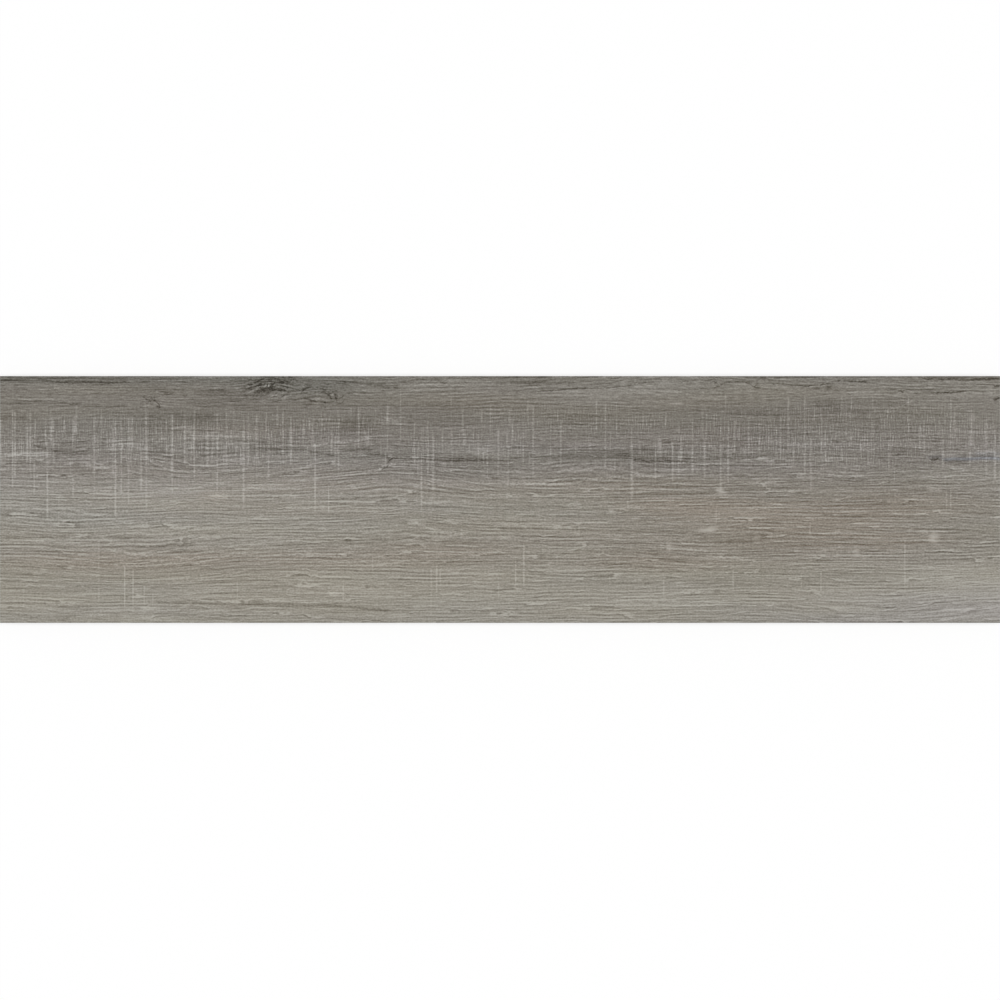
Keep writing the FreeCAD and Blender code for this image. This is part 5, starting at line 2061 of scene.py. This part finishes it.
def make_world(stage):
    """Even light from all round. The camera, reflections and glass see it as white."""
    world = bpy.data.worlds.new("soft_room")
    world.use_nodes = True
    nodes = world.node_tree.nodes
    links = world.node_tree.links
    light = nodes["Background"]
    seen = nodes.new("ShaderNodeBackground")
    for background, strength in ((light, stage.room_light), (seen, 1.0)):
        background.inputs["Color"].default_value = WHITE
        background.inputs["Strength"].default_value = strength
    path = nodes.new("ShaderNodeLightPath")
    sees = path.outputs["Is Camera Ray"]
    for kind in ("Is Glossy Ray", "Is Transmission Ray"):
        either = nodes.new("ShaderNodeMath")
        either.operation = "MAXIMUM"
        links.new(sees, either.inputs[0])
        links.new(path.outputs[kind], either.inputs[1])
        sees = either.outputs[0]
    mix = nodes.new("ShaderNodeMixShader")
    for socket, output in zip(mix.inputs, (sees, light.outputs[0], seen.outputs[0])):
        links.new(output, socket)
    links.new(mix.outputs[0], nodes["World Output"].inputs["Surface"])
    bpy.context.scene.world = world


def make_lamps(stage):
    """Two broad lamps, one over each end, so that the long sides throw almost no shadow."""
    for name, side in (("lamp_left", -1.0), ("lamp_right", 1.0)):
        lamp = bpy.data.lights.new(name, "SUN")
        lamp.energy = stage.lamp_strength
        lamp.angle = stage.lamp_spread
        turned = bpy.data.objects.new(name, lamp)
        turned.rotation_euler = (0.0, side * stage.lamp_tilt, 0.0)
        bpy.context.scene.collection.objects.link(turned)


def make_camera(stage):
    """A long lens straight above the plank, whose picture is almost exactly as wide as the plank.

    Its distance is the width that it sees times the lens over the sensor.
    """
    camera = bpy.data.cameras.new("camera")
    camera.lens = stage.lens
    camera.sensor_width = stage.sensor
    seen = LENGTH * MM * stage.frame_share
    distance = seen * stage.lens / stage.sensor
    placed = bpy.data.objects.new("camera", camera)
    placed.location = (0.0, -stage.picture_drop, THICKNESS * MM + distance)
    camera.clip_end = CAMERA_REACH * distance
    bpy.context.scene.collection.objects.link(placed)
    bpy.context.scene.camera = placed


class PlankShape(bpy.types.PropertyGroup):
    """Sizes of the plank's fine relief"""

    face_bevel: FloatProperty(
        name="Face bevel", description="Leg of the bevel round the face", default=0.0005, unit="LENGTH"
    )
    back_bevel: FloatProperty(
        name="Back bevel", description="Leg of the bevel round the back", default=0.0008, unit="LENGTH"
    )
    wood_relief: FloatProperty(
        name="Wood relief", description="Depth of the pressed grain", default=0.00016, unit="LENGTH"
    )
    saw_depth: FloatProperty(
        name="Saw depth", description="Depth of the saw marks", default=0.00008, unit="LENGTH"
    )
    chip_size: FloatProperty(
        name="Chips", description="Size of the chips along the ground edge", default=0.0005, unit="LENGTH"
    )
    column_spacing: FloatProperty(
        name="Columns", description="Widest gap between columns of the face", default=0.006, unit="LENGTH"
    )
    row_spacing: FloatProperty(
        name="Rows", description="Widest gap between rows of the face", default=0.00096, unit="LENGTH"
    )


class PlankColours(bpy.types.PropertyGroup):
    """Colours of the plank's finishes"""

    clay: FloatVectorProperty(
        name="Fired clay",
        description="Colour of the bare fired body",
        default=(0.47, 0.445, 0.392),
        subtype="COLOR",
        min=0.0,
        max=1.0,
    )
    kiln_wash: FloatVectorProperty(
        name="Kiln wash",
        description="Colour of the wash on the ribs of the back",
        default=(0.76, 0.76, 0.74),
        subtype="COLOR",
        min=0.0,
        max=1.0,
    )


class StageSettings(bpy.types.PropertyGroup):
    """Floor, light and camera"""

    floor_size: FloatProperty(
        name="Floor", description="Side of the square floor", default=60.0, unit="LENGTH"
    )
    floor_tone: FloatProperty(
        name="Floor tone", description="How much light the floor sends back", default=0.4
    )
    room_light: FloatProperty(name="Room light", description="Strength of the even light", default=0.32)
    lamp_strength: FloatProperty(name="Lamp strength", description="Strength of each lamp", default=1.65)
    lamp_spread: FloatProperty(
        name="Lamp spread", description="How broad each lamp looks", default=0.35, subtype="ANGLE"
    )
    lamp_tilt: FloatProperty(
        name="Lamp tilt", description="Angle of each lamp from upright", default=0.87, subtype="ANGLE"
    )
    lens: FloatProperty(name="Lens", description="Focal length of the camera", default=300.0, unit="CAMERA")
    sensor: FloatProperty(
        name="Sensor", description="Width of the camera's sensor", default=36.0, unit="CAMERA"
    )
    picture_drop: FloatProperty(
        name="Picture drop",
        description="How far below the plank's middle the picture's middle is",
        default=0.0003,
        unit="LENGTH",
    )
    frame_share: FloatProperty(
        name="Frame", description="Width of the picture as a share of the plank's length", default=0.9996
    )


class PLANK_OT_fired_plank(bpy.types.Operator):
    """Make the fired plank with its print, its ground sides and its ribbed back"""

    bl_idname = "plank.fired_plank"
    bl_label = "Fired plank"

    def execute(self, context):
        plank = make_plank(context.scene.plank_shape)
        colours = context.scene.plank_colours
        for material in (printed_face(), fired_body(colours), keyed_back(colours)):
            plank.data.materials.append(material)
        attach(plank, "root")
        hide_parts(NODE)
        return {"FINISHED"}


class PLANK_OT_stage(bpy.types.Operator):
    """Make the floor, the light and the camera"""

    bl_idname = "plank.stage"
    bl_label = "Stage"

    def execute(self, context):
        stage = context.scene.plank_stage
        make_floor(stage)
        make_world(stage)
        make_lamps(stage)
        make_camera(stage)
        context.scene.view_settings.view_transform = "Standard"
        return {"FINISHED"}


class PLANK_PT_sidebar(bpy.types.Panel):
    """Panel with the plank's operators and settings"""

    bl_label = "Plank"
    bl_idname = "PLANK_PT_sidebar"
    bl_space_type = "VIEW_3D"
    bl_region_type = "UI"
    bl_category = "Plank"

    def draw(self, context):
        layout = self.layout
        scene = context.scene
        for settings in (scene.plank_shape, scene.plank_colours, scene.plank_stage):
            for name in settings.bl_rna.properties.keys():
                if name not in ("rna_type", "name"):
                    layout.prop(settings, name)
        layout.operator(PLANK_OT_fired_plank.bl_idname)
        layout.operator(PLANK_OT_stage.bl_idname)


CLASSES = (
    PlankShape,
    PlankColours,
    StageSettings,
    PLANK_OT_fired_plank,
    PLANK_OT_stage,
    PLANK_PT_sidebar,
)


def register():
    """Registers the classes, and their settings on the scene."""
    for kind in CLASSES:
        bpy.utils.register_class(kind)
    bpy.types.Scene.plank_shape = PointerProperty(type=PlankShape)
    bpy.types.Scene.plank_colours = PointerProperty(type=PlankColours)
    bpy.types.Scene.plank_stage = PointerProperty(type=StageSettings)


def unregister():
    """Takes the settings and the classes away again."""
    del bpy.types.Scene.plank_stage
    del bpy.types.Scene.plank_colours
    del bpy.types.Scene.plank_shape
    for kind in reversed(CLASSES):
        bpy.utils.unregister_class(kind)


def main():
    """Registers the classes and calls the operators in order."""
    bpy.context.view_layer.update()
    register()
    bpy.ops.plank.fired_plank()
    bpy.ops.plank.stage()
    bpy.context.view_layer.update()


if __name__ == "__main__":
    main()
